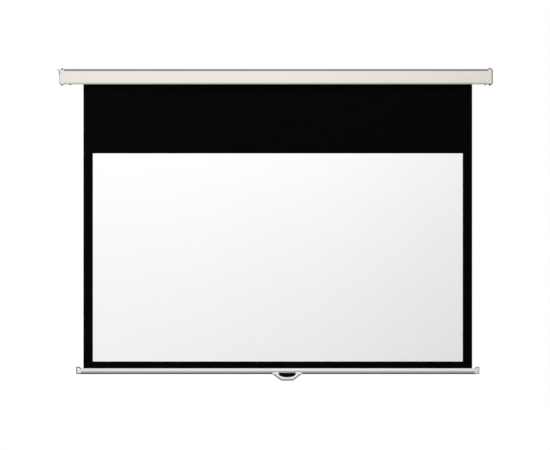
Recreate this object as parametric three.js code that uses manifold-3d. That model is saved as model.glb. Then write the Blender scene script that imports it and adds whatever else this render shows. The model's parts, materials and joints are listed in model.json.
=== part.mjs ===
// Pull down projector screen: a spring roller in a steel case, a masked screen cloth and a weight bar.
// Millimetres, +Z up. The viewer stands at -Y, the wall is at +Y and +X is the viewer's right.
// The origin is the middle of the wall face of the mounting rail.

import * as THREE from 'three';
import { mergeVertices } from 'three/addons/utils/BufferGeometryUtils.js';
import Module from 'manifold-3d';

const wasm = await Module();
wasm.setup();

// Picture and cloth
const imageWidth = 2037;
const imageHeight = 1146;
const sideMask = 52;
const bottomMask = 38;
const blackDrop = 380;
const clothThickness = 0.5;
const layerThickness = 0.2;
const clothOffset = 9.6;

// Fits: the gap round a seated piece, the gap under a head that bears on a face, and a cut's overrun
const fit = 0.3;
const seat = 0.1;
const overrun = 5;

// Case shell and mounting rail
const caseDepth = 78;
const caseHeight = 74;
const sheetSteel = 1.2;
const shellBend = 7;
const shellBackBend = 2;
const lipHeight = 5;
const lipBend = 1.2;
const slotAhead = 9;
const rearFlange = 6.15;
const railSteel = 2;
const railRise = 11;
const railSetback = 6;
const railBend = 2.5;
const railLeg = 60;

// Keyholes in the back, and the rivets that join the rail to the shell, all placed from the
// case's ends and the rail's top
const keyholeInset = 342.5;
const keyholeBelow = 34;
const keyholeHead = 6.5;
const keyholeNeck = 2.8;
const keyholeDrop = 9;
const windowMargin = 3;
const rivetCount = 4;
const rivetInset = 292.5;
const rivetBelow = 44;
const rivetRadius = 2;
const rivetHeadRadius = 4;
const rivetHeadHeight = 1.4;

// End caps of the case
const capLength = 26;
const capProud = 1.8;
const capEdge = 8;
const capCornerOverEdge = 1;
const capEndWall = 3;

// Pan head screws of the case
const screwHeadRadius = 4.6;
const screwHeadHeight = 3.2;
const screwRadius = 2;
const screwLength = 8;
const screwSlotWidth = 1.2;
const capScrewInset = 15;

// Hanging lug on the left cap
const lugWidth = 16;
const lugSteel = 2;
const lugFoot = 27;
const lugReach = 9.5;
const lugLift = 7;
const lugBend = 1.6;

// Roller tube, wound cloth and the brackets that carry them. The end room lies between the case's
// end and the bracket that is nearer to it, because the cloth hangs to one side of the middle. The
// axis lies a little ahead of the middle of the case's depth
const axisAhead = 0.7;
const endRoom = 30.9;
const tubeRadius = 20;
const tubeWall = 1.2;
const tubeOverhang = 47.5;
const woundTurns = 2;
const woundGap = 0.5;
const woundSteps = 80;
const bracketSteel = 2;
const bracketFlange = 16;
const bracketBehind = 20;
const bracketOverLip = 2.5;
const bearingLength = 32;

// Shaft, plugs and bush
const shaftRadius = 4;
const tangHalfHeight = 2.5;
const tangReach = 6;
const plugLength = 30;
const plugFlange = 4;
const hubRadius = 9;
const bushRadius = 7;
const bushFlange = 1.5;
const bushFlangeRadius = 10;

// Ratchet: a fixed collar on the shaft and two pawls on the turning plug
const collarRadius = 9;
const collarWidth = 5;
const collarStandoff = 1;
const pawlStandoff = 5;
const pawlLength = 11;
const pawlWidth = 4;
const pawlEye = 2.9;
const pawlPinRadius = 1.4;
const pawlPinHead = 2.6;
const pawlPinHeadHeight = 1;
const pawlPinDepth = 5;
const pawlDropAngle = THREE.MathUtils.degToRad(12);
const pawlCount = 2;

// Torsion spring and what holds its ends
const springRadius = 13;
const springWire = 1.2;
const springTurns = 20;
const springPitch = 12;
const springStart = 118;
const anchorWidth = 15;
const arborRadius = 15;

// Weight bar, hem rod, black foot strip and bar end caps
const barOverhang = 39;
const barHeight = 25.5;
const barDepth = 22;
const barWall = 1.4;
const barTopWidth = 10;
const barFootWidth = 14;
const barWaist_share = 0.58;
const hemRodRadius = 2.6;
const hemCover = 3.1;
const hemSlot = 1.6;
const channelWidth = 13;
const channelHeight = 3;
const channelMouth = 8;
const footDrop = 5.5;
const footEase = 1.5;
const barCapLength = 24.8;
const barCapRise = 9;
const barCapFlat = 14;
const barCapProud = 1.2;
const barCapWall = 3;
const barCapBevel = 1.2;
const barCapEase = 3;
const barCapBevelSteps = 2;

// Pull handle, its finger recess and its screws
const handleOffset = 51.6;
const handleWidth = 165;
const handleFlat = 61;
const handleDrop = 36.3;
const handleTab = 11;
const handleTabTaper = 2.5;
const handleWall = 2.5;
const handleBevel = 2;
const handleBevelSteps = 3;
const handleRound = 16;
const recessWidth = 94;
const recessDrop = 15;
const recessBack = 5.5;
const gripWall = 1.6;
const gripInset = 0.6;
const handleScrewInset = 18.5;
const handleScrewHead = 2.8;
const handleScrewHeadHeight = 1.8;
const handleScrewRadius = 1.4;
const handleScrewLength = 5;

// Facets round a full circle of large, middling and small pieces
const largeFacets = 36;
const midFacets = 24;
const smallFacets = 16;
const bendSteps = 4;
const springSteps = 8;
const springSides = 5;
const domeSteps = 3;

// Places that follow from the sizes above
const shellBackY = -(railSteel + fit);
const shellFrontY = shellBackY - caseDepth;
const shellTopZ = caseHeight / 2;
const shellBottomZ = -caseHeight / 2;
const railTopZ = shellTopZ + railRise;
const railFrontY = shellFrontY + railSetback;
const clothWidth = imageWidth + 2 * sideMask;
const tubeHalf = clothWidth / 2 + tubeOverhang;
const bracketX = tubeHalf + bearingLength;
const axisFromWall = caseDepth / 2 + axisAhead - shellBackY;
const caseHalf = bracketX + bracketSteel + Math.abs(clothOffset) + endRoom;
const capInnerX = caseHalf - capLength;
const shellHalf = caseHalf - capEdge - fit;
const capBackY = -fit;
const capCorner = capEdge + capCornerOverEdge;
const keyholeReach = caseHalf - keyholeInset;
const keyholeZ = railTopZ - keyholeBelow;
const rivetZ = railTopZ - rivetBelow;
const woundStart = tubeRadius + fit + clothThickness / 2;
const woundPitch = clothThickness + woundGap;
const woundEnd = woundStart + woundTurns * woundPitch;
const clothY = woundEnd - axisFromWall;
const slotFrontY = clothY - slotAhead;
const slotRearY = shellBackY - rearFlange;
const tubeBore = tubeRadius - tubeWall;
const bracketFrontY = shellFrontY + sheetSteel + shellBend;
const bracketFootY = slotFrontY - sheetSteel - fit;
const screwY = (bracketFrontY + bracketFootY) / 2;
const barTopZ = shellBottomZ - blackDrop - imageHeight - bottomMask;
const barUnderZ = -barHeight - footDrop;
const barTravel = blackDrop + imageHeight + bottomMask - barCapRise - fit;
const shaftBore = shaftRadius + fit;
const pawlPivot = collarRadius + pawlStandoff;
const pawlRestAngle = Math.acos((collarRadius + fit + pawlWidth / 2) / pawlPivot);
const handleDepth = barDepth + 2 * handleWall;
const handleScrewReach = handleWidth / 2 - handleScrewInset;

// Closed geometry from any three.js geometry: shared vertices merged and faces pointing out
function closed(geometry) {
  const bare = geometry.index ? geometry.toNonIndexed() : geometry.clone();
  bare.deleteAttribute('normal');
  bare.deleteAttribute('uv');
  const merged = mergeVertices(bare);
  const place = merged.attributes.position;
  const index = withoutSlivers(merged.index.array);
  merged.setIndex(index);
  const a = new THREE.Vector3();
  const b = new THREE.Vector3();
  const c = new THREE.Vector3();
  let volume = 0;
  for (let i = 0; i < index.length; i += 3) {
    a.fromBufferAttribute(place, index[i]);
    b.fromBufferAttribute(place, index[i + 1]);
    c.fromBufferAttribute(place, index[i + 2]);
    volume += a.dot(b.cross(c));
  }
  return volume < 0 ? flipped(merged) : merged;
}

// The triangles that still have three corners of their own after merging
function withoutSlivers(index) {
  const kept = [];
  for (let i = 0; i < index.length; i += 3) {
    const [p, q, r] = [index[i], index[i + 1], index[i + 2]];
    if (p !== q && q !== r && r !== p) {
      kept.push(p, q, r);
    }
  }
  return kept;
}

// The same geometry with every face turned round
function flipped(geometry) {
  const index = geometry.index.array;
  for (let i = 0; i < index.length; i += 3) {
    const second = index[i + 1];
    index[i + 1] = index[i + 2];
    index[i + 2] = second;
  }
  return geometry;
}

// A left hand copy of a right hand piece
function mirrored(geometry) {
  return flipped(geometry.clone().scale(-1, 1, 1));
}

function toSolid(geometry) {
  const ready = closed(geometry);
  return new wasm.Manifold(new wasm.Mesh({
    numProp: 3,
    vertProperties: new Float32Array(ready.attributes.position.array),
    triVerts: new Uint32Array(ready.index.array),
  }));
}

function toGeometry(solid) {
  const mesh = solid.getMesh();
  const geometry = new THREE.BufferGeometry();
  geometry.setAttribute('position', new THREE.BufferAttribute(mesh.vertProperties, 3));
  geometry.setIndex(new THREE.BufferAttribute(mesh.triVerts, 1));
  return geometry;
}

// A body with some geometries cut out of it
function cut(body, ...tools) {
  let solid = toSolid(body);
  for (const tool of tools) {
    solid = solid.subtract(toSolid(tool));
  }
  return toGeometry(solid);
}

// Several geometries joined into one body
function join(first, ...others) {
  let solid = toSolid(first);
  for (const other of others) {
    solid = solid.add(toSolid(other));
  }
  return toGeometry(solid);
}

// What two geometries have in common
function common(first, second) {
  return toGeometry(toSolid(first).intersect(toSolid(second)));
}

// A block between two corners
function block(x0, x1, y0, y1, z0, z1) {
  const geometry = new THREE.BoxGeometry(x1 - x0, y1 - y0, z1 - z0);
  return geometry.translate((x0 + x1) / 2, (y0 + y1) / 2, (z0 + z1) / 2);
}

// A section drawn in Y and Z, run along X from x0 to x1
function alongX(shape, x0, x1, extra = {}) {
  const geometry = new THREE.ExtrudeGeometry(shape, {
    depth: x1 - x0, bevelEnabled: false, curveSegments: bendSteps, ...extra,
  });
  const turn = new THREE.Matrix4().makeBasis(
    new THREE.Vector3(0, 1, 0), new THREE.Vector3(0, 0, 1), new THREE.Vector3(1, 0, 0));
  return geometry.applyMatrix4(turn).translate(x0, 0, 0);
}

// An outline drawn in X and Z, run along Y from y0 to y1
function alongY(shape, y0, y1, extra = {}) {
  const geometry = new THREE.ExtrudeGeometry(shape, {
    depth: y1 - y0, bevelEnabled: false, curveSegments: bendSteps, ...extra,
  });
  const turn = new THREE.Matrix4().makeBasis(
    new THREE.Vector3(1, 0, 0), new THREE.Vector3(0, 0, 1), new THREE.Vector3(0, -1, 0));
  return geometry.applyMatrix4(turn).translate(0, y1, 0);
}

// A round bar along X, Y or Z
function rodX(radius, x0, x1, facets, y = 0, z = 0) {
  const geometry = new THREE.CylinderGeometry(radius, radius, x1 - x0, facets);
  return geometry.rotateZ(Math.PI / 2).translate((x0 + x1) / 2, y, z);
}

function rodY(radius, y0, y1, facets, x = 0, z = 0) {
  const geometry = new THREE.CylinderGeometry(radius, radius, y1 - y0, facets);
  return geometry.translate(x, (y0 + y1) / 2, z);
}

function rodZ(radius, z0, z1, facets, x = 0, y = 0) {
  const geometry = new THREE.CylinderGeometry(radius, radius, z1 - z0, facets);
  return geometry.rotateX(Math.PI / 2).translate(x, y, (z0 + z1) / 2);
}

// A turned piece on the X axis; each point of the profile is [radius, x]
function turned(profile, facets) {
  const points = profile.map(([radius, x]) => new THREE.Vector2(radius, x));
  return new THREE.LatheGeometry(points, facets).rotateZ(-Math.PI / 2);
}

// A turned ring on the X axis with a plain bore
function ring(outer, bore, x0, x1, facets) {
  return turned([[bore, x0], [outer, x0], [outer, x1], [bore, x1], [bore, x0]], facets);
}

// A closed outline through points [u, v, ease]: an arc that starts an ease before a corner rounds it
function easedOutline(corners) {
  const points = [];
  const count = corners.length;
  const place = (i) => new THREE.Vector2(corners[(i + count) % count][0], corners[(i + count) % count][1]);
  for (let i = 0; i < count; i += 1) {
    const ease = corners[i][2] ?? 0;
    const corner = place(i);
    if (ease === 0) {
      points.push(corner);
      continue;
    }
    const before = place(i - 1).sub(corner).normalize();
    const after = place(i + 1).sub(corner).normalize();
    const half = before.angleTo(after) / 2;
    const centre = before.clone().add(after).setLength(ease / Math.cos(half)).add(corner);
    const spoke = before.clone().multiplyScalar(ease).add(corner).sub(centre);
    const sweep = (Math.PI - 2 * half) * -Math.sign(before.cross(after));
    for (let k = 0; k <= bendSteps; k += 1) {
      points.push(spoke.clone().rotateAround(new THREE.Vector2(), sweep * k / bendSteps).add(centre));
    }
  }
  return new THREE.Shape(points);
}

function rectangle(u0, u1, v0, v1, ease = 0) {
  return easedOutline([[u0, v0, ease], [u1, v0, ease], [u1, v1, ease], [u0, v1, ease]]);
}

// The section of a bent sheet: corners [u, v, bend] on the middle of the sheet
function bentSheet(corners, thickness) {
  const left = [];
  const right = [];
  const lay = (point, normal) => {
    left.push(point.clone().addScaledVector(normal, thickness / 2));
    right.push(point.clone().addScaledVector(normal, -thickness / 2));
  };
  const at = corners.map(([u, v]) => new THREE.Vector2(u, v));
  const heading = (i) => at[i + 1].clone().sub(at[i]).normalize();
  const leftOf = (direction) => new THREE.Vector2(-direction.y, direction.x);
  lay(at[0], leftOf(heading(0)));
  for (let i = 1; i < at.length - 1; i += 1) {
    const before = heading(i - 1);
    const after = heading(i);
    const bend = corners[i][2];
    const turn = before.angleTo(after) * Math.sign(before.cross(after));
    const start = at[i].clone().addScaledVector(before, -bend * Math.tan(Math.abs(turn) / 2));
    const side = Math.sign(turn);
    const centre = start.clone().addScaledVector(leftOf(before), bend * side);
    for (let k = 0; k <= bendSteps; k += 1) {
      const normal = leftOf(before).rotateAround(new THREE.Vector2(), turn * k / bendSteps);
      lay(centre.clone().addScaledVector(normal, -bend * side), normal);
    }
  }
  lay(at[at.length - 1], leftOf(heading(at.length - 2)));
  return new THREE.Shape([...left, ...right.reverse()]);
}

// The least gap between turns of one section, measured from point to point on its middle line
function leastGap(points, perTurn, thickness) {
  const nearestTurn_share = 0.75;
  let least = Infinity;
  for (let i = 0; i < points.length; i += 1) {
    for (let j = i + Math.floor(perTurn * nearestTurn_share); j < points.length; j += 1) {
      least = Math.min(least, points[i].distanceTo(points[j]));
    }
  }
  return least - thickness;
}

// The points of a domed head from its rim to its crown on the axis
function dome(radius, base, rise) {
  return Array.from({ length: domeSteps + 1 }, (_, i) => {
    const angle = Math.PI / 2 * i / domeSteps;
    return [i < domeSteps ? radius * Math.cos(angle) : 0, base + rise * Math.sin(angle)];
  });
}

// A pan head screw on the Z axis: the head's bearing face is at zero and the shank points down
function panHeadScrew(headRadius, headHeight, radius, length) {
  const rim = headHeight / 2;
  const profile = [
    [0, -length], [radius, -length], [radius, 0], [headRadius, 0], ...dome(headRadius, rim, headHeight - rim),
  ].map(([r, z]) => new THREE.Vector2(r, z));
  const body = new THREE.LatheGeometry(profile, smallFacets).rotateX(Math.PI / 2);
  const arm = headRadius / 2;
  const half = screwSlotWidth * headRadius / screwHeadRadius / 2;
  return cut(body,
    block(-arm, arm, -half, half, rim, headHeight + overrun),
    block(-half, half, -arm, arm, rim, headHeight + overrun));
}

// The steel case, open in a long slot below for the cloth
function caseShell() {
  const half = sheetSteel / 2;
  const front = shellFrontY + half;
  const back = shellBackY - half;
  const top = shellTopZ - half;
  const bottom = shellBottomZ + half;
  const lip = shellBottomZ + lipHeight;
  const section = bentSheet([
    [slotFrontY - half, lip], [slotFrontY - half, bottom, lipBend], [front, bottom, shellBend],
    [front, top, shellBend], [back, top, shellBackBend], [back, bottom, shellBackBend],
    [slotRearY + half, bottom, lipBend], [slotRearY + half, lip],
  ], sheetSteel);
  const windows = [-1, 1].map((side) => rodY(keyholeHead + windowMargin, shellBackY - overrun,
    shellBackY + overrun, midFacets, side * keyholeReach, keyholeZ));
  const rivetHoles = rivetPlaces().map((x) => rodY(rivetRadius + fit, shellBackY - overrun,
    shellBackY + overrun, smallFacets, x, rivetZ));
  const screwHoles = caseScrews().filter((screw) => screw.throughShell).map((screw) => rodZ(
    screwRadius + fit, screw.z - overrun, screw.z + overrun, smallFacets, screw.x, screw.y));
  return cut(alongX(section, -shellHalf, shellHalf), ...windows, ...rivetHoles, ...screwHoles);
}

// The grey rail on top of the case, whose back leg lies on the wall
function mountingRail() {
  const half = railSteel / 2;
  const section = bentSheet([
    [-half, railTopZ - railLeg], [-half, railTopZ - half, railBend],
    [railFrontY + half, railTopZ - half, railBend], [railFrontY + half, shellTopZ + fit],
  ], railSteel);
  const ends = [-1, 1].map((side) => {
    const inner = side * (capInnerX - fit);
    const outer = side * (caseHalf + overrun);
    return block(Math.min(inner, outer), Math.max(inner, outer), shellBackY, overrun,
      railTopZ - railLeg - overrun, railTopZ + overrun);
  });
  const keyholes = [-1, 1].flatMap((side) => [
    rodY(keyholeHead, -overrun, overrun, midFacets, side * keyholeReach, keyholeZ),
    rodY(keyholeNeck, -overrun, overrun, smallFacets, side * keyholeReach, keyholeZ + keyholeDrop),
    block(side * keyholeReach - keyholeNeck, side * keyholeReach + keyholeNeck, -overrun, overrun,
      keyholeZ, keyholeZ + keyholeDrop),
  ]);
  const rivetHoles = rivetPlaces().map((x) => rodY(rivetRadius + fit, -overrun, overrun,
    smallFacets, x, rivetZ));
  const screwHoles = caseScrews().filter((screw) => screw.throughRail).map((screw) => rodZ(
    screwRadius + fit, screw.z - overrun, screw.z + overrun, smallFacets, screw.x, screw.y));
  return cut(alongX(section, -shellHalf, shellHalf), ...ends, ...keyholes, ...rivetHoles, ...screwHoles);
}

function rivetPlaces() {
  const reach = caseHalf - rivetInset;
  return Array.from({ length: rivetCount }, (_, i) => (2 * i / (rivetCount - 1) - 1) * reach);
}

// A rivet from inside the case, flush with the wall face of the rail
function railRivet() {
  const face = shellBackY - sheetSteel - seat;
  const profile = [...dome(rivetHeadRadius, face, -rivetHeadHeight).reverse(),
    [rivetRadius, face], [rivetRadius, -fit], [0, -fit]];
  return new THREE.LatheGeometry(profile.map(([radius, y]) => new THREE.Vector2(radius, y)), smallFacets);
}

// Where the screws of the case stand, and which sheets each goes through
function caseScrews() {
  const list = [];
  const capX = caseHalf - capScrewInset;
  const top = railTopZ + capProud + seat;
  const capBottom = shellBottomZ - capProud - seat;
  const shellBottom = shellBottomZ - seat;
  const flangeX = bracketX - bracketFlange / 2;
  for (const [side, word] of [[-1, 'left'], [1, 'right']]) {
    const bracket = clothOffset + side * flangeX;
    list.push(
      { name: `cap_screw_top_${word}`, x: side * capX, z: top, up: true, throughRail: true },
      { name: `cap_screw_bottom_${word}`, x: side * capX, z: capBottom, up: false, throughShell: true },
      { name: `bracket_screw_top_${word}`, x: bracket, z: shellTopZ + seat, up: true, throughShell: true },
      { name: `bracket_screw_bottom_${word}`, x: bracket, z: shellBottom, up: false, throughShell: true },
    );
  }
  return list.map((screw) => ({ ...screw, y: screwY }));
}

// The right hand moulded end cap, a hollow lid over the ends of the shell and the rail
function endCap(side) {
  const outline = rectangle(shellFrontY - capProud, capBackY, shellBottomZ - capProud,
    railTopZ + capProud, capCorner);
  const body = alongX(outline, 0, capLength - capEdge, {
    bevelEnabled: true, bevelThickness: capEdge, bevelSize: capEdge, bevelOffset: -capEdge,
    bevelSegments: bendSteps,
  });
  const inside = easedOutline([
    [shellFrontY - fit, shellBottomZ - fit, shellBend], [shellBackY + fit, shellBottomZ - fit, shellBackBend],
    [shellBackY + fit, railTopZ + fit], [shellFrontY - fit, railTopZ + fit, shellBend],
  ]);
  const hollow = rectangle(shellFrontY + capEdge, shellBackY - capEdge, shellBottomZ + capEdge,
    railTopZ - capEdge, shellBackBend);
  const screwHoles = [1, -1].map((way) => rodZ(screwRadius + fit,
    way > 0 ? railTopZ : shellBottomZ - overrun, way > 0 ? railTopZ + overrun : shellBottomZ,
    smallFacets, capLength - capScrewInset, screwY));
  const tools = [
    block(-capEdge - overrun, 0, shellFrontY - overrun, overrun, shellBottomZ - overrun, railTopZ + overrun),
    alongX(inside, -overrun, capLength - capEdge),
    alongX(hollow, 0, capLength - capEndWall),
    ...screwHoles,
  ];
  if (side < 0) {
    tools.push(rodX(screwRadius + fit, capLength - capEndWall - overrun, capLength + overrun,
      smallFacets, screwY, lugScrewZ()));
  }
  const geometry = cut(body, ...tools);
  return side < 0 ? mirrored(geometry) : geometry;
}

function lugTopZ() {
  return railTopZ - capEdge;
}

function lugScrewZ() {
  return lugTopZ() - lugFoot / 2;
}

// The bent steel lug that stands out at the top of the left cap
function hangingLug() {
  const inner = -caseHalf - seat - lugSteel / 2;
  const section = bentSheet([
    [inner, lugTopZ() - lugFoot], [inner, lugTopZ(), lugBend],
    [inner - lugReach, lugTopZ() + lugLift],
  ], lugSteel);
  const body = alongY(section, screwY - lugWidth / 2, screwY + lugWidth / 2);
  return cut(body, rodX(screwRadius + fit, inner - overrun, inner + overrun, smallFacets,
    screwY, lugScrewZ()));
}

// The bent plate at one end of the case that carries the roller; local X runs outwards
function rollerBracket(opening) {
  const rear = -axisFromWall + bracketBehind;
  const low = shellBottomZ + sheetSteel + fit;
  const overLip = shellBottomZ + lipHeight + bracketOverLip;
  const high = shellTopZ - sheetSteel - fit;
  const outer = bracketX + bracketSteel;
  const inner = bracketX - bracketFlange;
  const body = join(
    block(bracketX, outer, bracketFrontY, bracketFootY, low, high),
    block(bracketX, outer, bracketFrontY, rear, overLip, high),
    block(inner, outer, bracketFrontY, bracketFootY, low, low + bracketSteel),
    block(inner, outer, bracketFrontY, bracketFootY, high - bracketSteel, high),
  );
  const holes = [low, high].map((z) => rodZ(screwRadius + fit, z - overrun, z + overrun,
    smallFacets, bracketX - bracketFlange / 2, screwY));
  return cut(body, opening, ...holes);
}

function tangSlot() {
  return block(bracketX - overrun, bracketX + bracketSteel + overrun,
    -axisFromWall - shaftBore, -axisFromWall + shaftBore, -tangHalfHeight - fit, tangHalfHeight + fit);
}

function bushHole() {
  return rodX(bushRadius + fit, bracketX - overrun, bracketX + bracketSteel + overrun,
    midFacets, -axisFromWall, 0);
}

// The nylon bush in the right hand bracket
function bearingBush() {
  const face = bracketX - seat;
  const end = bracketX + bracketSteel + bushFlange;
  return turned([
    [shaftBore, face - bushFlange], [bushFlangeRadius, face - bushFlange], [bushFlangeRadius, face],
    [bushRadius, face], [bushRadius, end], [shaftBore, end], [shaftBore, face - bushFlange],
  ], midFacets);
}

// The fixed shaft of the spring end, with flats where it sits in the slot of the left bracket
function springShaft() {
  const shoulder = -bracketX + fit;
  const end = -bracketX - tangReach;
  const inner = -(tubeHalf - springStart - springTurns * springPitch - anchorWidth * 2);
  const flats = [-1, 1].map((way) => {
    const z0 = way * tangHalfHeight;
    const z1 = way * (shaftRadius + overrun);
    return block(end - overrun, shoulder, -shaftRadius - overrun, shaftRadius + overrun,
      Math.min(z0, z1), Math.max(z0, z1));
  });
  return cut(rodX(shaftRadius, end, inner, midFacets), ...flats);
}

// The left end of the ratchet plug, where the collar and the pawls stand
const ratchetFaceX = -(tubeHalf + plugFlange);
const collarX = ratchetFaceX - collarStandoff - collarWidth;

// A pawl's outline in Y and Z, pointing forwards and down from a pivot above the shaft
function pawlOutline(angle, grow) {
  const along = new THREE.Vector2(-Math.cos(angle), -Math.sin(angle));
  const across = new THREE.Vector2(-along.y, along.x);
  const pivot = new THREE.Vector2(0, pawlPivot);
  const half = pawlWidth / 2 + grow;
  const eye = pawlEye + grow;
  const meet = Math.asin(half / eye);
  const points = [];
  for (let i = 0; i <= smallFacets; i += 1) {
    const turn = along.angle() - meet - (2 * Math.PI - 2 * meet) * i / smallFacets;
    points.push(new THREE.Vector2(Math.cos(turn), Math.sin(turn)).multiplyScalar(eye).add(pivot));
  }
  const tip = pivot.clone().addScaledVector(along, pawlLength + grow);
  points.push(tip.clone().addScaledVector(across, half));
  points.push(tip.clone().addScaledVector(across, -half));
  return new THREE.Shape(points);
}

// The fixed collar on the shaft, with one notch for each pawl
function ratchetCollar() {
  const body = ring(collarRadius, shaftBore, collarX, collarX + collarWidth, largeFacets);
  const notches = [];
  for (let i = 0; i < pawlCount; i += 1) {
    const notch = alongX(pawlOutline(pawlRestAngle + pawlDropAngle, fit), collarX - overrun,
      collarX + collarWidth + overrun);
    notches.push(notch.rotateX(2 * Math.PI * i / pawlCount));
  }
  return cut(body, ...notches);
}

// One pawl, lifted just clear of the collar
function pawl(i) {
  const body = cut(alongX(pawlOutline(pawlRestAngle, 0), collarX, collarX + collarWidth),
    rodX(pawlPinRadius + fit, collarX - overrun, collarX + collarWidth + overrun, smallFacets,
      0, pawlPivot));
  return body.rotateX(2 * Math.PI * i / pawlCount);
}

// The headed pin that a pawl swings on, seated in the ratchet plug
function pawlPin(i) {
  const head = collarX - fit;
  const profile = [
    [0, head - pawlPinHeadHeight], [pawlPinHead, head - pawlPinHeadHeight], [pawlPinHead, head],
    [pawlPinRadius, head], [pawlPinRadius, ratchetFaceX + pawlPinDepth], [0, ratchetFaceX + pawlPinDepth],
  ];
  return turned(profile, smallFacets).translate(0, 0, pawlPivot).rotateX(2 * Math.PI * i / pawlCount);
}

// The turning plug at the spring end of the tube, bored for the shaft and the pawl pins
function ratchetPlug() {
  const tubeEnd = -tubeHalf;
  const body = turned([
    [shaftBore, ratchetFaceX], [tubeRadius, ratchetFaceX], [tubeRadius, tubeEnd - seat],
    [tubeBore - fit, tubeEnd - seat], [tubeBore - fit, tubeEnd + plugLength],
    [shaftBore, tubeEnd + plugLength], [shaftBore, ratchetFaceX],
  ], largeFacets);
  const sockets = [];
  for (let i = 0; i < pawlCount; i += 1) {
    sockets.push(rodX(pawlPinRadius + seat, ratchetFaceX - overrun, ratchetFaceX + pawlPinDepth + seat,
      smallFacets, 0, pawlPivot).rotateX(2 * Math.PI * i / pawlCount));
  }
  return cut(body, ...sockets);
}

// The turning plug at the plain end, with a hub that runs up to the bush
function idlePlug() {
  const hubEnd = bracketX - bushFlange - fit - seat;
  return turned([
    [shaftBore, tubeHalf - plugLength], [tubeBore - fit, tubeHalf - plugLength],
    [tubeBore - fit, tubeHalf + seat], [tubeRadius, tubeHalf + seat],
    [tubeRadius, tubeHalf + plugFlange], [hubRadius, tubeHalf + plugFlange], [hubRadius, hubEnd],
    [shaftBore, hubEnd], [shaftBore, tubeHalf - plugLength],
  ], largeFacets);
}

// The pin in the plain end plug that turns in the bush
function gudgeonPin() {
  return rodX(shaftRadius, tubeHalf - plugLength, bracketX + bracketSteel + tangReach, midFacets);
}

// The strip of cloth that stays on the tube when the screen is right down
function woundCloth() {
  const middle = [];
  const outer = [];
  const inner = [];
  for (let i = 0; i <= woundSteps; i += 1) {
    const angle = 2 * Math.PI * woundTurns * i / woundSteps;
    const radius = woundEnd - woundPitch * woundTurns * i / woundSteps;
    const out = new THREE.Vector2(Math.cos(angle), Math.sin(angle));
    middle.push(out.clone().multiplyScalar(radius));
    outer.push(out.clone().multiplyScalar(radius + clothThickness / 2));
    inner.push(out.clone().multiplyScalar(radius - clothThickness / 2));
  }
  const gap = leastGap(middle, woundSteps / woundTurns, clothThickness);
  console.log(`wound cloth: least gap between turns ${gap.toFixed(2)} mm`);
  return alongX(new THREE.Shape([...outer, ...inner.reverse()]), -clothWidth / 2, clothWidth / 2);
}

// The middle line of the torsion spring
class SpringLine extends THREE.Curve {
  getPoint(share, target = new THREE.Vector3()) {
    const angle = 2 * Math.PI * springTurns * share;
    const x = springFrom() + springWire + fit + share * (springTurns * springPitch - 2 * (springWire + fit));
    return target.set(x, springRadius * Math.cos(angle), springRadius * Math.sin(angle));
  }
}

function springFrom() {
  return -tubeHalf + springStart;
}

// The coil that stores the pull, between the arbor on the shaft and the anchor in the tube
function torsionSpring() {
  const line = new SpringLine();
  const section = new THREE.Shape();
  for (let i = 0; i < springSides; i += 1) {
    const angle = 2 * Math.PI * i / springSides;
    const point = [springWire * Math.cos(angle), springWire * Math.sin(angle)];
    if (i === 0) {
      section.moveTo(...point);
    } else {
      section.lineTo(...point);
    }
  }
  section.closePath();
  const steps = springTurns * springSteps;
  const gap = leastGap(line.getPoints(steps), springSteps, 2 * springWire);
  console.log(`torsion spring: least gap between coils ${gap.toFixed(2)} mm`);
  return new THREE.ExtrudeGeometry(section, { steps, extrudePath: line, bevelEnabled: false });
}

// The fixed arbor on the shaft that holds one end of the spring
function springArbor() {
  return ring(arborRadius, shaftBore, springFrom() - anchorWidth, springFrom(), midFacets);
}

// The anchor pressed in the tube that holds the other end and steadies the shaft
function springAnchor() {
  const start = springFrom() + springTurns * springPitch;
  return ring(tubeBore - fit, shaftBore, start, start + anchorWidth, largeFacets);
}

// The section of the weight bar, grown or shrunk all round
function barSection(grow) {
  const top = grow;
  const bottom = -barHeight - grow;
  const waist = -barHeight * barWaist_share;
  const a = barTopWidth / 2 + grow;
  const b = barDepth / 2 + grow;
  const c = barFootWidth / 2 + grow;
  const shape = new THREE.Shape();
  shape.moveTo(-a, top);
  shape.lineTo(a, top);
  shape.quadraticCurveTo(b, top, b, waist);
  shape.quadraticCurveTo(b, bottom, c, bottom);
  shape.lineTo(-c, bottom);
  shape.quadraticCurveTo(-b, bottom, -b, waist);
  shape.quadraticCurveTo(-b, top, -a, top);
  return shape;
}

const barHalf = clothWidth / 2 + barOverhang;
const barEndX = barHalf - barCapWall - fit;
const hemBore = hemRodRadius + fit;
const hemCentre = hemBore + hemCover;

// The drawn aluminium weight bar: a hem groove above, a channel below and a hollow between them
function barExtrusion() {
  const over = barEndX + overrun;
  const body = alongX(barSection(0), -barEndX, barEndX, { curveSegments: 2 * bendSteps });
  const band = block(-over, over, -barDepth, barDepth,
    -barHeight + barWall * 2 + channelHeight, -hemCentre - hemBore - barWall);
  const hollow = common(alongX(barSection(-barWall), -over, over), band);
  const slot = block(-over, over, -hemSlot / 2, hemSlot / 2, -hemCentre, overrun);
  const channelFloor = -barHeight + barWall + channelHeight;
  const channel = block(-over, over, -channelWidth / 2, channelWidth / 2, -barHeight + barWall, channelFloor);
  const mouth = block(-over, over, -channelMouth / 2, channelMouth / 2, -barHeight - overrun, channelFloor);
  return cut(body, hollow, rodX(hemBore, -over, over, smallFacets, 0, -hemCentre), slot, channel, mouth,
    ...handleScrewHoles());
}

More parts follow.
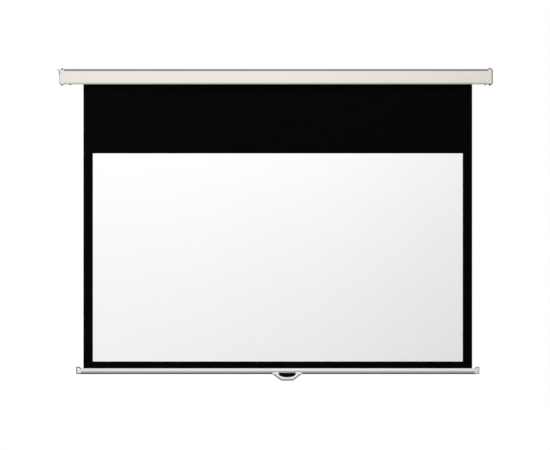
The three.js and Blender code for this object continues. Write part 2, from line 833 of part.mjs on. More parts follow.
// The black strip clipped in the channel, whose foot shows as the dark line under the bar
function footStrip() {
  const half = barFootWidth / 2 - fit;
  const neck = channelMouth / 2 - fit;
  const head = channelWidth / 2 - fit;
  const headTop = -barHeight + barWall + channelHeight - fit;
  const headBottom = -barHeight + barWall + fit;
  const sole = -barHeight - seat;
  return alongX(easedOutline([
    [-half, barUnderZ, footEase], [half, barUnderZ, footEase], [half, sole], [neck, sole],
    [neck, headBottom], [head, headBottom], [head, headTop], [-head, headTop],
    [-head, headBottom], [-neck, headBottom], [-neck, sole], [-half, sole],
  ]), -barEndX, barEndX);
}

// The plastic or cane rod that keeps the hem of the cloth in the groove
function hemRod() {
  return rodX(hemRodRadius, -barEndX, barEndX, smallFacets, 0, -hemCentre);
}

// The right hand cap of the bar, which stands above it and stops against the case
function barCap() {
  const under = barUnderZ - seat;
  const half = barDepth / 2 + barCapProud;
  const slope = barCapLength - barCapFlat;
  const outline = easedOutline([
    [-barCapBevel, under], [barCapLength, under, barCapEase], [barCapLength, barCapRise, barCapEase],
    [slope, barCapRise, barCapEase], [-barCapBevel, barCapProud - barCapBevel],
  ]);
  const body = alongY(outline, -half + barCapBevel, half - barCapBevel, {
    bevelEnabled: true, bevelThickness: barCapBevel, bevelSize: barCapBevel, bevelOffset: -barCapBevel,
    bevelSegments: barCapBevelSteps,
  });
  const deep = barCapLength - barCapWall;
  const pocket = alongX(barSection(fit), -overrun, deep, { curveSegments: 2 * bendSteps });
  const footPocket = block(-overrun, deep, -barFootWidth / 2 - fit, barFootWidth / 2 + fit,
    barUnderZ - overrun, -barHeight);
  const rim = block(-overrun, 0, -half - overrun, half + overrun, under - overrun, barCapRise + overrun);
  return cut(body, pocket, footPocket, rim);
}

function handleScrewHoles() {
  return [-1, 1].map((side) => rodY(handleScrewRadius + fit, handleDepth / 2 - handleScrewLength - fit,
    handleDepth / 2 + overrun, smallFacets, handleOffset + side * handleScrewReach, handleScrewZ()));
}

function handleScrewZ() {
  return barUnderZ + handleTab - handleScrewHead - fit;
}

// The outline of the finger recess, a half ellipse under the bar
function recessOutline(inset) {
  const a = recessWidth / 2 - inset;
  const b = recessDrop - inset;
  const shape = new THREE.Shape();
  shape.moveTo(a, barUnderZ + overrun);
  for (let i = 0; i <= smallFacets; i += 1) {
    const angle = Math.PI * i / smallFacets;
    shape.lineTo(a * Math.cos(angle), barUnderZ - fit - b * Math.sin(angle));
  }
  shape.lineTo(-a, barUnderZ + overrun);
  shape.closePath();
  return shape;
}

// The moulded pull handle, a saddle round the foot of the bar with a finger recess below it
function pullHandle() {
  const half = handleWidth / 2;
  const flat = handleFlat / 2;
  const low = barUnderZ - handleDrop;
  const tabTop = barUnderZ + handleTab;
  const tabHalf = half - handleTabTaper;
  const outline = easedOutline([
    [-half, barUnderZ, handleTabTaper], [-flat, low, handleRound], [flat, low, handleRound],
    [half, barUnderZ, handleTabTaper], [tabHalf, tabTop, handleTabTaper], [-tabHalf, tabTop, handleTabTaper],
  ]);
  const depth = handleDepth / 2;
  const body = alongY(outline, -depth + handleBevel, depth - handleBevel, {
    bevelEnabled: true, bevelThickness: handleBevel, bevelSize: handleBevel, bevelOffset: -handleBevel,
    bevelSegments: handleBevelSteps,
  });
  const over = half + overrun;
  const saddle = alongX(barSection(fit), -over, over, { curveSegments: 2 * bendSteps });
  const footway = block(-over, over, -barFootWidth / 2 - fit, barFootWidth / 2 + fit,
    barUnderZ - fit, -barHeight);
  const middle = block(-recessWidth / 2, recessWidth / 2, -depth - overrun, depth + overrun,
    barUnderZ - fit, tabTop + overrun);
  const recess = alongY(recessOutline(0), -depth - overrun, depth - recessBack);
  const holes = [-1, 1].map((side) => rodY(handleScrewRadius + fit, 0, depth + overrun, smallFacets,
    side * handleScrewReach, handleScrewZ()));
  return cut(body, saddle, footway, middle, recess, ...holes);
}

// The black lining of the finger recess
function handleGrip() {
  const front = -handleDepth / 2 + gripInset;
  const rear = handleDepth / 2 - recessBack - fit;
  const body = alongY(recessOutline(fit), front, rear);
  const hollow = alongY(recessOutline(fit + gripWall), front - overrun, rear - gripWall);
  const above = block(-recessWidth, recessWidth, -handleDepth, handleDepth, barUnderZ - fit,
    barUnderZ + 2 * overrun);
  return cut(body, hollow, above);
}

// Names a geometry, gives it its own material and hangs it in a group
function add(group, name, geometry, color, roughness, metalness = 0) {
  const material = new THREE.MeshStandardMaterial({ color, roughness, metalness });
  const mesh = new THREE.Mesh(closed(geometry), material);
  mesh.name = name;
  group.add(mesh);
  return mesh;
}

const cream = '#e9e5da';
const railGrey = '#96928f';
const zinc = '#b9bcc0';
const blackened = '#2a2826';
const silver = '#c9cacc';
const black = '#0b0b0b';
const matteWhite = '#f5f5f3';
const nylon = '#e6e2d2';

const group = new THREE.Group();

// Case pieces, in the frame of the whole part
function buildCase() {
  const frame = new THREE.Group();
  group.add(frame);
  add(frame, 'case_shell', caseShell(), cream, 0.45);
  add(frame, 'mounting_rail', mountingRail(), railGrey, 0.5, 0.4);
  rivetPlaces().forEach((x, i) => {
    add(frame, `rail_rivet_${i + 1}`, railRivet(), zinc, 0.4, 0.9).position.set(x, 0, rivetZ);
  });
  add(frame, 'end_cap_left', endCap(-1), cream, 0.5).position.x = -capInnerX;
  add(frame, 'end_cap_right', endCap(1), cream, 0.5).position.x = capInnerX;
  for (const screw of caseScrews()) {
    const geometry = panHeadScrew(screwHeadRadius, screwHeadHeight, screwRadius, screwLength);
    const mesh = add(frame, screw.name, geometry, blackened, 0.35, 0.8);
    mesh.position.set(screw.x, screw.y, screw.z);
    mesh.rotation.x = screw.up ? 0 : Math.PI;
  }
  add(frame, 'hanging_lug', hangingLug(), railGrey, 0.4, 0.8);
  const lugScrew = add(frame, 'lug_screw', panHeadScrew(screwHeadRadius, screwHeadHeight, screwRadius,
    screwLength), blackened, 0.35, 0.8);
  lugScrew.position.set(-caseHalf - lugSteel - 2 * seat, screwY, lugScrewZ());
  lugScrew.rotation.y = -Math.PI / 2;
}

// Brackets, bush, shaft, collar and arbor: what stands still at the roller's ends
function buildCarriers() {
  const frame = new THREE.Group();
  frame.position.x = clothOffset;
  group.add(frame);
  add(frame, 'roller_bracket_left', mirrored(rollerBracket(tangSlot())), zinc, 0.4, 0.9);
  add(frame, 'roller_bracket_right', rollerBracket(bushHole()), zinc, 0.4, 0.9);
  const axis = new THREE.Group();
  axis.position.y = -axisFromWall;
  frame.add(axis);
  add(axis, 'bearing_bush', bearingBush(), nylon, 0.5);
  add(axis, 'spring_shaft', springShaft(), zinc, 0.3, 1);
  add(axis, 'ratchet_collar', ratchetCollar(), zinc, 0.35, 1);
  add(axis, 'spring_arbor', springArbor(), nylon, 0.5);
}

// What turns: tube, cloth on the tube, plugs, pin, spring and pawls
function buildRoller() {
  const roller = new THREE.Group();
  roller.position.set(clothOffset, -axisFromWall, 0);
  group.add(roller);
  add(roller, 'roller_tube', ring(tubeRadius, tubeBore, -tubeHalf, tubeHalf, largeFacets), silver, 0.35, 1);
  add(roller, 'wound_cloth', woundCloth(), black, 0.8);
  add(roller, 'ratchet_plug', ratchetPlug(), nylon, 0.5);
  add(roller, 'idle_plug', idlePlug(), nylon, 0.5);
  add(roller, 'gudgeon_pin', gudgeonPin(), zinc, 0.3, 1);
  add(roller, 'spring_anchor', springAnchor(), nylon, 0.5);
  add(roller, 'torsion_spring', torsionSpring(), zinc, 0.3, 1);
  for (let i = 0; i < pawlCount; i += 1) {
    add(roller, `pawl_pin_${i + 1}`, pawlPin(i), zinc, 0.3, 1);
    add(roller, `pawl_${i + 1}`, pawl(i), zinc, 0.35, 1);
  }
}

// The hanging cloth: a black backing and the white layer that takes the picture
function buildCloth() {
  const cloth = new THREE.Group();
  cloth.position.set(clothOffset, clothY, 0);
  group.add(cloth);
  const half = clothThickness / 2;
  const hem = barTopZ - hemCentre + hemRodRadius + fit;
  const imageTop = shellBottomZ - blackDrop;
  add(cloth, 'screen_backing',
    block(-clothWidth / 2, clothWidth / 2, -half, half, hem, -fit), black, 0.8);
  add(cloth, 'viewing_layer', block(-imageWidth / 2, imageWidth / 2, -half - layerThickness, -half,
    imageTop - imageHeight, imageTop), matteWhite, 0.9);
}

// The weight bar and all that hangs on it
function buildBar() {
  const bar = new THREE.Group();
  bar.position.set(clothOffset, clothY, barTopZ);
  group.add(bar);
  add(bar, 'weight_bar', barExtrusion(), silver, 0.3, 1);
  add(bar, 'foot_strip', footStrip(), black, 0.6);
  add(bar, 'hem_rod', hemRod(), nylon, 0.5);
  add(bar, 'bar_cap_left', mirrored(barCap()), matteWhite, 0.45).position.x = -(barHalf - barCapLength);
  add(bar, 'bar_cap_right', barCap(), matteWhite, 0.45).position.x = barHalf - barCapLength;
  const handle = new THREE.Group();
  handle.position.x = handleOffset;
  bar.add(handle);
  add(handle, 'pull_handle', pullHandle(), matteWhite, 0.35);
  add(handle, 'handle_grip', handleGrip(), black, 0.7);
  for (const [side, word] of [[-1, 'left'], [1, 'right']]) {
    const screw = add(handle, `handle_screw_${word}`, panHeadScrew(handleScrewHead,
      handleScrewHeadHeight, handleScrewRadius, handleScrewLength), zinc, 0.3, 1);
    screw.position.set(side * handleScrewReach, handleDepth / 2 + seat, handleScrewZ());
    screw.rotation.x = -Math.PI / 2;
  }
}

buildCase();
buildCarriers();
buildRoller();
buildCloth();
buildBar();
console.log(`bar travel ${barTravel.toFixed(1)} mm`);

export default group;
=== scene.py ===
"""Pull down projector screen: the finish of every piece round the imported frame, laid out as an add-on."""

import json
import math

import bmesh
import bpy
from bpy.props import FloatProperty, FloatVectorProperty, IntProperty, PointerProperty
from mathutils import Matrix, Vector


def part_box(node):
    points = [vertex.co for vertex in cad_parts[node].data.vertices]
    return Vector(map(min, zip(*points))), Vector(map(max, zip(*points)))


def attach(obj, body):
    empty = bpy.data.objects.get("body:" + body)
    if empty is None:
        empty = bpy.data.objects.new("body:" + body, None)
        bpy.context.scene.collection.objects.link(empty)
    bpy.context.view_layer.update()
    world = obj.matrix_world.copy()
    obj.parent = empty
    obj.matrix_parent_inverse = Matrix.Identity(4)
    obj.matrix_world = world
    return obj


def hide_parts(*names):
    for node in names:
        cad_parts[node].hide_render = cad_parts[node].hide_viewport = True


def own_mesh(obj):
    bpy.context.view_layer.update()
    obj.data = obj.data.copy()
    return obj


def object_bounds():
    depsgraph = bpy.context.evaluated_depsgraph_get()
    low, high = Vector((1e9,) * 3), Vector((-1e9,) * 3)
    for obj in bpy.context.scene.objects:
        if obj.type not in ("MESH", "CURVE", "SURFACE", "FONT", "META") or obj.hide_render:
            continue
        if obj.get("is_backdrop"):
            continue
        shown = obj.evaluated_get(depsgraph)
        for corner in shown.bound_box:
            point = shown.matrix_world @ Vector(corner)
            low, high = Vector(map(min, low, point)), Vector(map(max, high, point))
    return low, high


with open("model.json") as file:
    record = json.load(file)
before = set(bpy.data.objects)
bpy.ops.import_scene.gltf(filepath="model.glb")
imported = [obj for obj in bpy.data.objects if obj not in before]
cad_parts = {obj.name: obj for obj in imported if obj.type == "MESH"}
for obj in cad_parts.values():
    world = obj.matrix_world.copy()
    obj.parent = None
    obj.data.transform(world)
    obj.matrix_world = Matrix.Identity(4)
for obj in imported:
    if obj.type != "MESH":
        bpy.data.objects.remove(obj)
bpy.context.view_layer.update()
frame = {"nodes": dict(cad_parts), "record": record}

bl_info = {
    "name": "Pull Down Projector Screen",
    "version": (1, 0, 0),
    "blender": (4, 5, 0),
    "location": "View3D > Sidebar > Screen",
    "description": "Models and finishes the pieces of a pull down projector screen",
    "category": "Object",
}

MM = 0.001
SNAP = 0.01 * MM  # how near to a place a point counts as there
SEED = 1 * MM  # side of the small plane that an outline is drawn from
OVERRUN = 4 * MM  # how far a cutter reaches past what it cuts
FIT = 0.3 * MM  # clearance between two pieces that fit together
HAIR = FIT / 3  # the least gap between two pieces that meet
AXES = {"X": Vector((1, 0, 0)), "Y": Vector((0, 1, 0)), "Z": Vector((0, 0, 1))}

# Each soft lamp: its place and the side of its square in metres, and its share of the level that shows white.
LAMPS = {
    "key": ((0.3, -3.5, 2.1), 2.0, 0.62),
    "fill": ((-4.6, -7.0, -0.4), 3.2, 0.54),
    "back_left": ((-3.5, 6.0, 3.0), 2.5, 0.45),
    "back_right": ((3.5, 6.0, 3.0), 2.5, 0.45),
}
FLOOR_SIDE = 14  # metres
FLOOR_GLOW = 0.5  # strength of the white that the floor shows to the view
SKY_LEVEL = 0.05  # strength of the even light on the object

# Each kind of screw, in millimetres: the radius and height of its head, the radius and length of its shank,
# and the width of its crossed recess.
CASE_SCREW = (5.6, 4.4, 2, 8, 1.2)
TALL_SCREW = (5.2, 7.52, 2, 8, 1.2)
LUG_SCREW = (4.6, 1.6, 2, 8, 1.2)
HANDLE_SCREW = (2.8, 1.8, 1.4, 5, 0.8)
# For each kind its finish and its body, then its places: the frame's screw, the way that the head looks, and
# how far, in millimetres, the head stands out past the frame's.
SCREWS = (
    (TALL_SCREW, "dark_steel", "case", (("cap_screw_top_left", "+Z", -1.04),)),
    (CASE_SCREW, "dark_steel", "case", (
        ("cap_screw_bottom_left", "-Z", 1.2),
        ("bracket_screw_top_left", "+Z", 0), ("bracket_screw_bottom_left", "-Z", 1.2),
        ("cap_screw_top_right", "+Z", 0), ("cap_screw_bottom_right", "-Z", 1.2),
        ("bracket_screw_top_right", "+Z", 0), ("bracket_screw_bottom_right", "-Z", 1.2))),
    (LUG_SCREW, "zinc_steel", "case", (("lug_screw", "-X", -1.6),)),
    (HANDLE_SCREW, "zinc_steel", "bar", (("handle_screw_left", "+Y", 0), ("handle_screw_right", "+Y", 0))),
)


def linear(code):
    """The linear colour, with alpha, of an sRGB hex value."""
    shares = [int(code[i:i + 2], 16) / 255 for i in (1, 3, 5)]
    return [s / 12.92 if s <= 0.04045 else ((s + 0.055) / 1.055) ** 2.4 for s in shares] + [1.0]


def length(name, description, millimetres, least=0.0):
    """A length that a user may change, given here in millimetres."""
    return FloatProperty(name=name, description=description, default=millimetres * MM, min=least,
                         unit="LENGTH", precision=4)


def share(name, description, value):
    """A plain number that a user may change."""
    return FloatProperty(name=name, description=description, default=value, min=0.0)


def count(name, description, number):
    """A whole number that a user may change."""
    return IntProperty(name=name, description=description, default=number, min=1)


def colour(name, description, code):
    """A colour that a user may change."""
    return FloatVectorProperty(name=name, description=description, default=linear(code), size=4,
                               min=0.0, max=1.0, subtype="COLOR")


class ScreenSizes(bpy.types.PropertyGroup):
    """The sizes of the pieces that are modelled round the frame."""

    sheet: length("Sheet steel", "Thickness of the case's steel", 1.2)
    top_bend: length("Top bend", "Outer radius along the case's front top edge", 7.6)
    front_bend: length("Front bend", "Outer radius along the case's front lower edge", 14)
    back_bend: length("Back bend", "Outer radius along the case's back edges", 2.6)
    lip: length("Slot lip", "Height of the lips that are turned up along the slot", 5)
    lip_bend: length("Lip bend", "Outer radius at the foot of each lip", 1.8)
    slot_ahead: length("Slot ahead", "From the cloth forwards to the slot's front lip", 9)
    rear_flange: length("Rear flange", "Width of the case's bottom behind the slot", 6.15)
    rail: length("Rail steel", "Thickness of the mounting rail", 2)
    rail_rise: length("Rail rise", "Height of the rail above the case", 9.6)
    rail_bend: length("Rail bend", "Outer radius of the rail's bends", 3.5)
    keyhole_reach: length("Keyhole reach", "From the middle of the rail to each keyhole", 850)
    keyhole_below: length("Keyhole below", "From the rail's top down to the keyhole's wide end", 34)
    keyhole_head: length("Keyhole head", "Radius of the keyhole's wide end", 6.5)
    keyhole_neck: length("Keyhole neck", "Radius of the keyhole's narrow end", 2.8)
    keyhole_drop: length("Keyhole drop", "How far the screen drops on its wall screws", 9)
    window_margin: length("Window margin", "How far the case is cut away round a keyhole", 3)
    cap_edge: length("Cap edge", "Rounding of the end cap's outer rim", 8)
    cap_corner: length("Cap corner", "Rounding of the end cap's long edges", 9)
    cap_end: length("Cap end", "Wall at the end of the end cap", 2.2)
    cap_roof: length("Cap roof", "Least wall over the pocket of the end cap", 1.5)
    left_cap_drop: length("Left cap drop", "How far the left cap's top stands below the right one's", 5.2)
    # The grey plates round the end caps' ends stand partly for painted shade along the caps' outer rims; the
    # right one is thicker to paint the deeper shade on the side away from the lamps.
    end_plate_left: length("Left end plate", "Thickness of the grey plate round the left cap's end", 1.8)
    end_plate_right: length("Right end plate", "Thickness of the grey plate round the right cap's end", 5.2)
    lug_sheet: length("Lug sheet", "Thickness of the hanging lug", 2)
    lug_bend: length("Lug bend", "From the lug's top down to its bend", 7.5)
    lug_rib: length("Lug rib", "Depth of the ribs that are turned down along the lug's sides", 4.6)
    lug_corner: length("Lug corner", "Rounding of the lug's lower corners", 3)
    small_hole: length("Small hole", "Radius of the holes for the rivets and the lug's screw", 2.3)
    image_width: length("Image width", "Width of the white picture area", 2037)
    image_height: length("Image height", "Height of the white picture area", 1146)
    cloth: length("Cloth", "Thickness of the coated cloth", 0.5)
    cloth_columns: count("Cloth columns", "Columns of faces across the cloth", 96)
    cloth_rows: count("Cloth rows", "Rows of faces down the hanging cloth", 72)
    mask_rows: count("Mask rows", "Rows of faces down the bottom mask", 3)
    wound_turns: count("Wound turns", "Turns of cloth that never leave the roller", 2)
    wound_facets: count("Wound facets", "Facets in the wound cloth", 96)
    ripple: length("Ripple", "How far the hanging cloth bows towards the wall, off the roll", 1.8)
    ripple_count: share("Ripple count", "Waves of the ripple across the cloth", 2.6)
    ripple_sway: share("Ripple sway", "How far, in radians, the waves wander halfway down", 1.1)
    edge_curl: length("Edge curl", "How far the cloth's long edges curl towards the wall", 1.6)
    curl_width: length("Curl width", "Width of cloth that takes part in the curl", 60)
    bar_top: length("Bar top", "Width of the bar's flat top", 10)
    bar_waist: length("Bar waist", "From the bar's top down to its widest line", 13.4)
    bar_foot: length("Bar foot", "Width of the bar's flat foot", 14)
    bar_foot_rise: length("Bar foot rise", "From the frame's lowest line of the bar up to its foot", 1)
    bar_crown: length("Bar crown", "How far the bar's front faces bow out between their edges", 0.5)
    bar_wall: length("Bar wall", "Wall of the drawn bar", 1.4)
    channel_half: length("Channel half", "Half the width of the channel in the bar's foot", 6.5)
    channel_mouth: length("Channel mouth", "Half the width of the channel's mouth", 4)
    channel_height: length("Channel height", "Height of the channel", 3)
    strip_head_round: length("Strip head round", "Rounding of the strip's head in the channel", 0.5)
    hem_rod: length("Hem rod", "Radius of the rod in the hem", 2.6)
    hem_depth: length("Hem depth", "From the bar's top down to the middle of the hem rod", 6)
    hem_slot: length("Hem slot", "Width of the slot that the cloth goes in by", 1.6)
    cap_flat: length("Bar cap flat", "Flat top of the bar's end cap", 14)
    cap_slope_foot: length("Bar cap slope foot", "Height of the cap over the bar at its inner end", 1.2)
    bar_cap_edge: length("Bar cap edge", "Rounding of the bar's end caps", 2)
    bar_cap_pocket: length("Bar cap pocket", "How deep the bar stands in its end cap", 21.8)
    bar_cap_round: length("Bar cap round", "Rounding of the bar cap's corners, seen from the front", 3)
    bar_cap_lean: length("Bar cap lean", "How far the cap's lower faces lean in towards its foot", 6)
    # The black edgings round the bar's caps stand partly for painted shade along the caps' outer outlines;
    # the left one is thicker to paint the darker line along the left cap.
    edging_left: length("Left edging", "Thickness of the black edging round the bar's left cap", 4.4)
    edging_right: length("Right edging", "Thickness of the black edging round the bar's right cap", 3)
    handle_flat: length("Handle flat", "Flat underside of the handle", 61)
    handle_tab_round: length("Handle tab round", "Rounding of each tab's top corner", 5)
    handle_taper: length("Handle taper", "How far each tab leans in towards its top", 2.5)
    handle_round: length("Handle round", "Rounding of the handle's lower corners", 16)
    handle_chin: length("Handle chin", "Rounding of the handle's lower front", 12)
    handle_edge: length("Handle edge", "Rounding of the handle's other edges", 2)
    # The black edging round the handle stands partly for painted shade along the handle's outline, and
    # carries the dark line under the bar round it.
    handle_rim: length("Handle rim", "Thickness of the black edging round the handle", 5)
    edging_shade_back: length("Handle rim back", "From the handle's front back to the edging", 1)
    recess_width: length("Recess width", "Width of the finger recess", 94)
    recess_drop: length("Recess drop", "Depth of the finger recess below the bar", 17.4)
    recess_back: length("Recess back", "Wall behind the finger recess", 5.5)
    recess_facets: count("Recess facets", "Facets in the finger recess's curve", 32)
    grip_wall: length("Grip wall", "Wall of the black lining", 1.6)
    floor_drop: length("Floor drop", "From the lowest piece down to the floor", 900)
    camera_distance: length("Camera distance", "From the cloth to the camera", 60000)
    view_width: length("View width", "Width that the picture takes in at the cloth", 3029.3)
    view_x: length("View X", "Middle of the picture across", -5.8, least=-10)
    view_z: length("View Z", "Middle of the picture in height", -811.4, least=-10)
    curve_steps: count("Curve steps", "Facets in each curve of the bar", 12)


class ScreenColours(bpy.types.PropertyGroup):
    """The colours of the finishes."""

    enamel: colour("Enamel", "Cream enamel of the case", "#D8D4CC")
    cap: colour("Cap", "Cream plastic of the case's end caps", "#D7D5CC")
    rail: colour("Rail", "Grey powder coat of the mounting rail and the end plates", "#7C7976")
    zinc: colour("Zinc", "Zinc plated steel", "#B9BCC2")
    steel: colour("Steel", "Phosphated steel of the hanging lug", "#6C696B")
    oxide: colour("Oxide", "Blackened screws", "#2A2726")
    aluminium: colour("Aluminium", "Satin anodised aluminium", "#ABACAE")
    nylon: colour("Nylon", "Natural nylon", "#E4DFCB")
    mask: colour("Black cloth", "Black coating of the cloth", "#040404")
    picture: colour("White cloth", "Matt white picture area", "#F4F4F4")
    plastic: colour("White plastic", "White plastic of the handle and the bar's caps", "#E9E9E7")
    # The black of the strip under the bar is partly painted shade.
    vinyl: colour("Black vinyl", "Black strip under the bar", "#080808")
    rubber: colour("Black rubber", "Black lining and edging of the handle", "#060606")


def clear_hands():
    """Leaves edit mode and deselects everything, so that the next operator acts on one piece."""
    if bpy.context.object and bpy.context.object.mode != "OBJECT":
        bpy.ops.object.mode_set(mode="OBJECT")
    bpy.ops.object.select_all(action="DESELECT")


def take(piece, mode="OBJECT"):
    """Selects one piece alone and enters a mode on it."""
    clear_hands()
    piece.select_set(True)
    bpy.context.view_layer.objects.active = piece
    bpy.ops.object.mode_set(mode=mode)
    return piece


def named(name):
    """Names the new piece and puts its size and place in its mesh."""
    piece = bpy.context.object
    piece.name = piece.data.name = name
    bpy.ops.object.transform_apply(location=True, rotation=True, scale=True)
    return piece


def block(name, low, high):
    """A new block between two corners."""
    clear_hands()
    low, high = Vector(low), Vector(high)
    bpy.ops.mesh.primitive_cube_add(size=1, location=(low + high) / 2, scale=high - low)
    return named(name)


def rod(name, radius, axis, start, end, facets=32):
    """A new round bar from one point to another along an axis."""
    clear_hands()
    turn = AXES["Z"].rotation_difference(AXES[axis]).to_euler()
    start, end = Vector(start), Vector(end)
    bpy.ops.mesh.primitive_cylinder_add(radius=radius, depth=(end - start).length, vertices=facets,
                                        location=(start + end) / 2, rotation=turn)
    return named(name)


def pick_all():
    """Selects all of the piece in hand."""
    bpy.ops.mesh.select_mode(type="VERT")
    bpy.ops.mesh.select_all(action="SELECT")


def pick(kind, test):
    """Selects the corners, edges or faces of the piece in hand whose place and direction pass a test."""
    bpy.ops.mesh.select_mode(type=kind)
    bpy.ops.mesh.select_all(action="DESELECT")
    mesh = bmesh.from_edit_mesh(bpy.context.object.data)
    mesh.normal_update()
    found = 0
    for item in {"VERT": mesh.verts, "EDGE": mesh.edges, "FACE": mesh.faces}[kind]:
        if kind == "VERT":
            place, way = item.co, item.normal
        elif kind == "EDGE":
            ends = [corner.co for corner in item.verts]
            place, way = (ends[0] + ends[1]) / 2, (ends[1] - ends[0]).normalized()
        else:
            place, way = item.calc_center_median(), item.normal
        if test(place, way):
            item.select_set(True)
            found += 1
    mesh.select_flush_mode()
    bmesh.update_edit_mesh(bpy.context.object.data)
    if not found:
        raise RuntimeError(f"nothing to pick on {bpy.context.object.name}")


def face_out():
    """Turns every face of the piece in hand outwards."""
    pick_all()
    bpy.ops.mesh.normals_make_consistent(inside=False)


def wire(name, spots):
    """A new open line, extruded from point to point."""
    clear_hands()
    bpy.ops.mesh.primitive_plane_add(size=SEED, location=spots[0])
    piece = named(name)
    bpy.ops.object.mode_set(mode="EDIT")
    pick_all()
    bpy.ops.mesh.merge(type="CENTER")
    for near, far in zip(spots, spots[1:]):
        bpy.ops.mesh.extrude_region_move(TRANSFORM_OT_translate={"value": far - near})
    return piece


def drawn(name, axis, start, end, corners, steps, closed):
    """A new rounded outline, run out along an axis; each of its corners is (u, v, radius) across the axis."""
    def spot_of(u, v):
        return Vector({"X": (start, u, v), "Y": (u, start, v), "Z": (u, v, start)}[axis])

    spots = [spot_of(*corner[:2]) for corner in corners]
    piece = wire(name, spots)
    if closed:
        pick_all()
        bpy.ops.mesh.edge_face_add()
    for i, (spot, corner) in enumerate(zip(spots, corners)):
        radius = corner[2] if len(corner) > 2 else 0
        if radius:
            before = (spots[i - 1] - spot).normalized()
            after = (spots[(i + 1) % len(spots)] - spot).normalized()
            pick("VERT", lambda place, way: (place - spot).length < SNAP)
            bpy.ops.mesh.bevel(affect="VERTICES", offset=radius / math.tan(before.angle(after) / 2),
                               segments=steps, clamp_overlap=False)
    pick_all()
    bpy.ops.mesh.extrude_region_move(TRANSFORM_OT_translate={"value": AXES[axis] * (end - start)})
    face_out()
    return piece


def bar_of(name, axis, start, end, corners, steps=6):
    """A new solid bar with a rounded section."""
    return drawn(name, axis, start, end, corners, steps, True)


def bent_sheet(name, axis, start, end, corners, thickness, side, steps=6):
    """A new sheet, bent along an axis, with its wall on one side of the drawn line."""
    piece = drawn(name, axis, start, end, corners, steps, False)
    return modify(piece, "SOLIDIFY", thickness=thickness, offset=side, use_even_offset=True)


def moved_in(corners, depth):
    """An outline, drawn against the clock, with each side moved in by a depth."""
    spots = [Vector(corner[:2]) for corner in corners]
    moved = []
    for i, (spot, corner) in enumerate(zip(spots, corners)):
        before = (spot - spots[i - 1]).normalized().orthogonal()
        after = (spots[(i + 1) % len(spots)] - spot).normalized().orthogonal()
        place = spot + (before + after) * depth / (1 + before.dot(after))
        moved.append((place.x, place.y, max(corner[2] - depth, FIT)))
    return moved


def turned(name, profile, facets=40):
    """A new turned piece: a profile of (distance along Z, radius) spun round it."""
    piece = wire(name, [AXES["Z"] * along + AXES["X"] * radius for along, radius in profile])
    pick_all()
    bpy.ops.mesh.spin(steps=facets, angle=2 * math.pi, center=(0, 0, 0), axis=AXES["Z"])
    pick_all()
    bpy.ops.mesh.remove_doubles(threshold=SNAP)
    face_out()
    return piece


def modify(piece, kind, **settings):
    """Adds a modifier with its settings and applies it."""
    take(piece)
    bpy.ops.object.modifier_add(type=kind)
    modifier = piece.modifiers[-1]
    for key, value in settings.items():
        setattr(modifier, key, value)
    bpy.ops.object.modifier_apply(modifier=modifier.name)
    return piece


def cut(piece, *cutters, keep="DIFFERENCE"):
    """Cuts other pieces out of one, and clears them away."""
    for cutter in cutters:
        modify(piece, "BOOLEAN", operation=keep, solver="EXACT", object=cutter)
        bpy.data.objects.remove(cutter)
    return piece


def kept(piece, cutter):
    """Keeps of a piece only what lies in another, which is cleared away."""
    return cut(piece, cutter, keep="INTERSECT")


def drill(piece, radius, axis, spot, reach=OVERRUN, facets=32):
    """Drills a round hole through a piece at a spot."""
    way = AXES[axis] * reach
    return cut(piece, rod("hole", radius, axis, spot - way, spot + way, facets))


def trimmed(cap, trim, form, core, room, depth):
    """A cap and the trim of a depth round it, named, both parts of one form and clear of the same room."""
    return (cut(kept(form(cap), core(depth + HAIR)), *room()),
            cut(form(trim), core(depth), *room()))


def eased(piece, test, radius, steps=3):
    """Rounds the edges of a piece that pass a test."""
    take(piece, "EDIT")
    pick("EDGE", test)
    bpy.ops.mesh.bevel(affect="EDGES", offset=radius, segments=steps, clamp_overlap=True)
    return piece


def beveled(piece, width, segments):
    """Rounds the sharp edges of a piece."""
    return modify(piece, "BEVEL", limit_method="ANGLE", angle_limit=math.radians(30), width=width,
                  segments=segments)


def finished(piece, body, slot, *nodes, finish=None, angle=32):
    """Closes seams, shades the piece, gives it its finish and hangs it on its body."""
    take(piece, "EDIT")
    pick_all()
    bpy.ops.mesh.remove_doubles(threshold=SNAP / 10)
    face_out()
    take(piece)
    bpy.ops.object.shade_smooth_by_angle(angle=math.radians(angle))
    modify(piece, "WEIGHTED_NORMAL", keep_sharp=True)
    piece.data.materials.clear()
    piece.data.materials.append(finish or finish_of(slot))
    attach(piece, body)
    if nodes:
        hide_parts(*nodes)
    return piece


def add_node(tree, kind, settings=None, links=None):
    """Adds a node, sets its sockets and properties by name and links its inputs."""
    node = tree.nodes.new(kind)
    for key, value in (settings or {}).items():
        if isinstance(key, int) or key in node.inputs:
            node.inputs[key].default_value = value
        else:
            setattr(node, key, value)
    for key, source in (links or {}).items():
        tree.links.new(source, node.inputs[key])
    return node


def new_material(name, base, roughness, **values):
    """A material with its shader, and the object's own coordinates for its patterns."""
    material = bpy.data.materials.new(name)
    material.use_nodes = True
    tree = material.node_tree
    tree.nodes.clear()
    shader = add_node(tree, "ShaderNodeBsdfPrincipled",
                      {"Base Color": list(base), "Roughness": roughness, **values})
    add_node(tree, "ShaderNodeOutputMaterial", links={"Surface": shader.outputs["BSDF"]})
    return material, tree, shader, add_node(tree, "ShaderNodeTexCoord").outputs["Object"]


def spread(tree, source, low, high):
    """A value from 0 to 1 spread from low to high."""
    return add_node(tree, "ShaderNodeMapRange", {"To Min": low, "To Max": high},
                    {"Value": source}).outputs["Result"]


def tinted(tree, source, tone, low, high):
    """A colour that a pattern makes darker or lighter by a small share."""
    return add_node(tree, "ShaderNodeVectorMath", {"operation": "SCALE", 0: list(tone)[:3]},
                    {"Scale": spread(tree, source, low, high)}).outputs["Vector"]


def grain(tree, place, size, detail=2.0):
    """Noise whose lumps have a real size."""
    return add_node(tree, "ShaderNodeTexNoise", {"Scale": 1 / size, "Detail": detail, "Roughness": 0.5},
                    {"Vector": place}).outputs["Fac"]


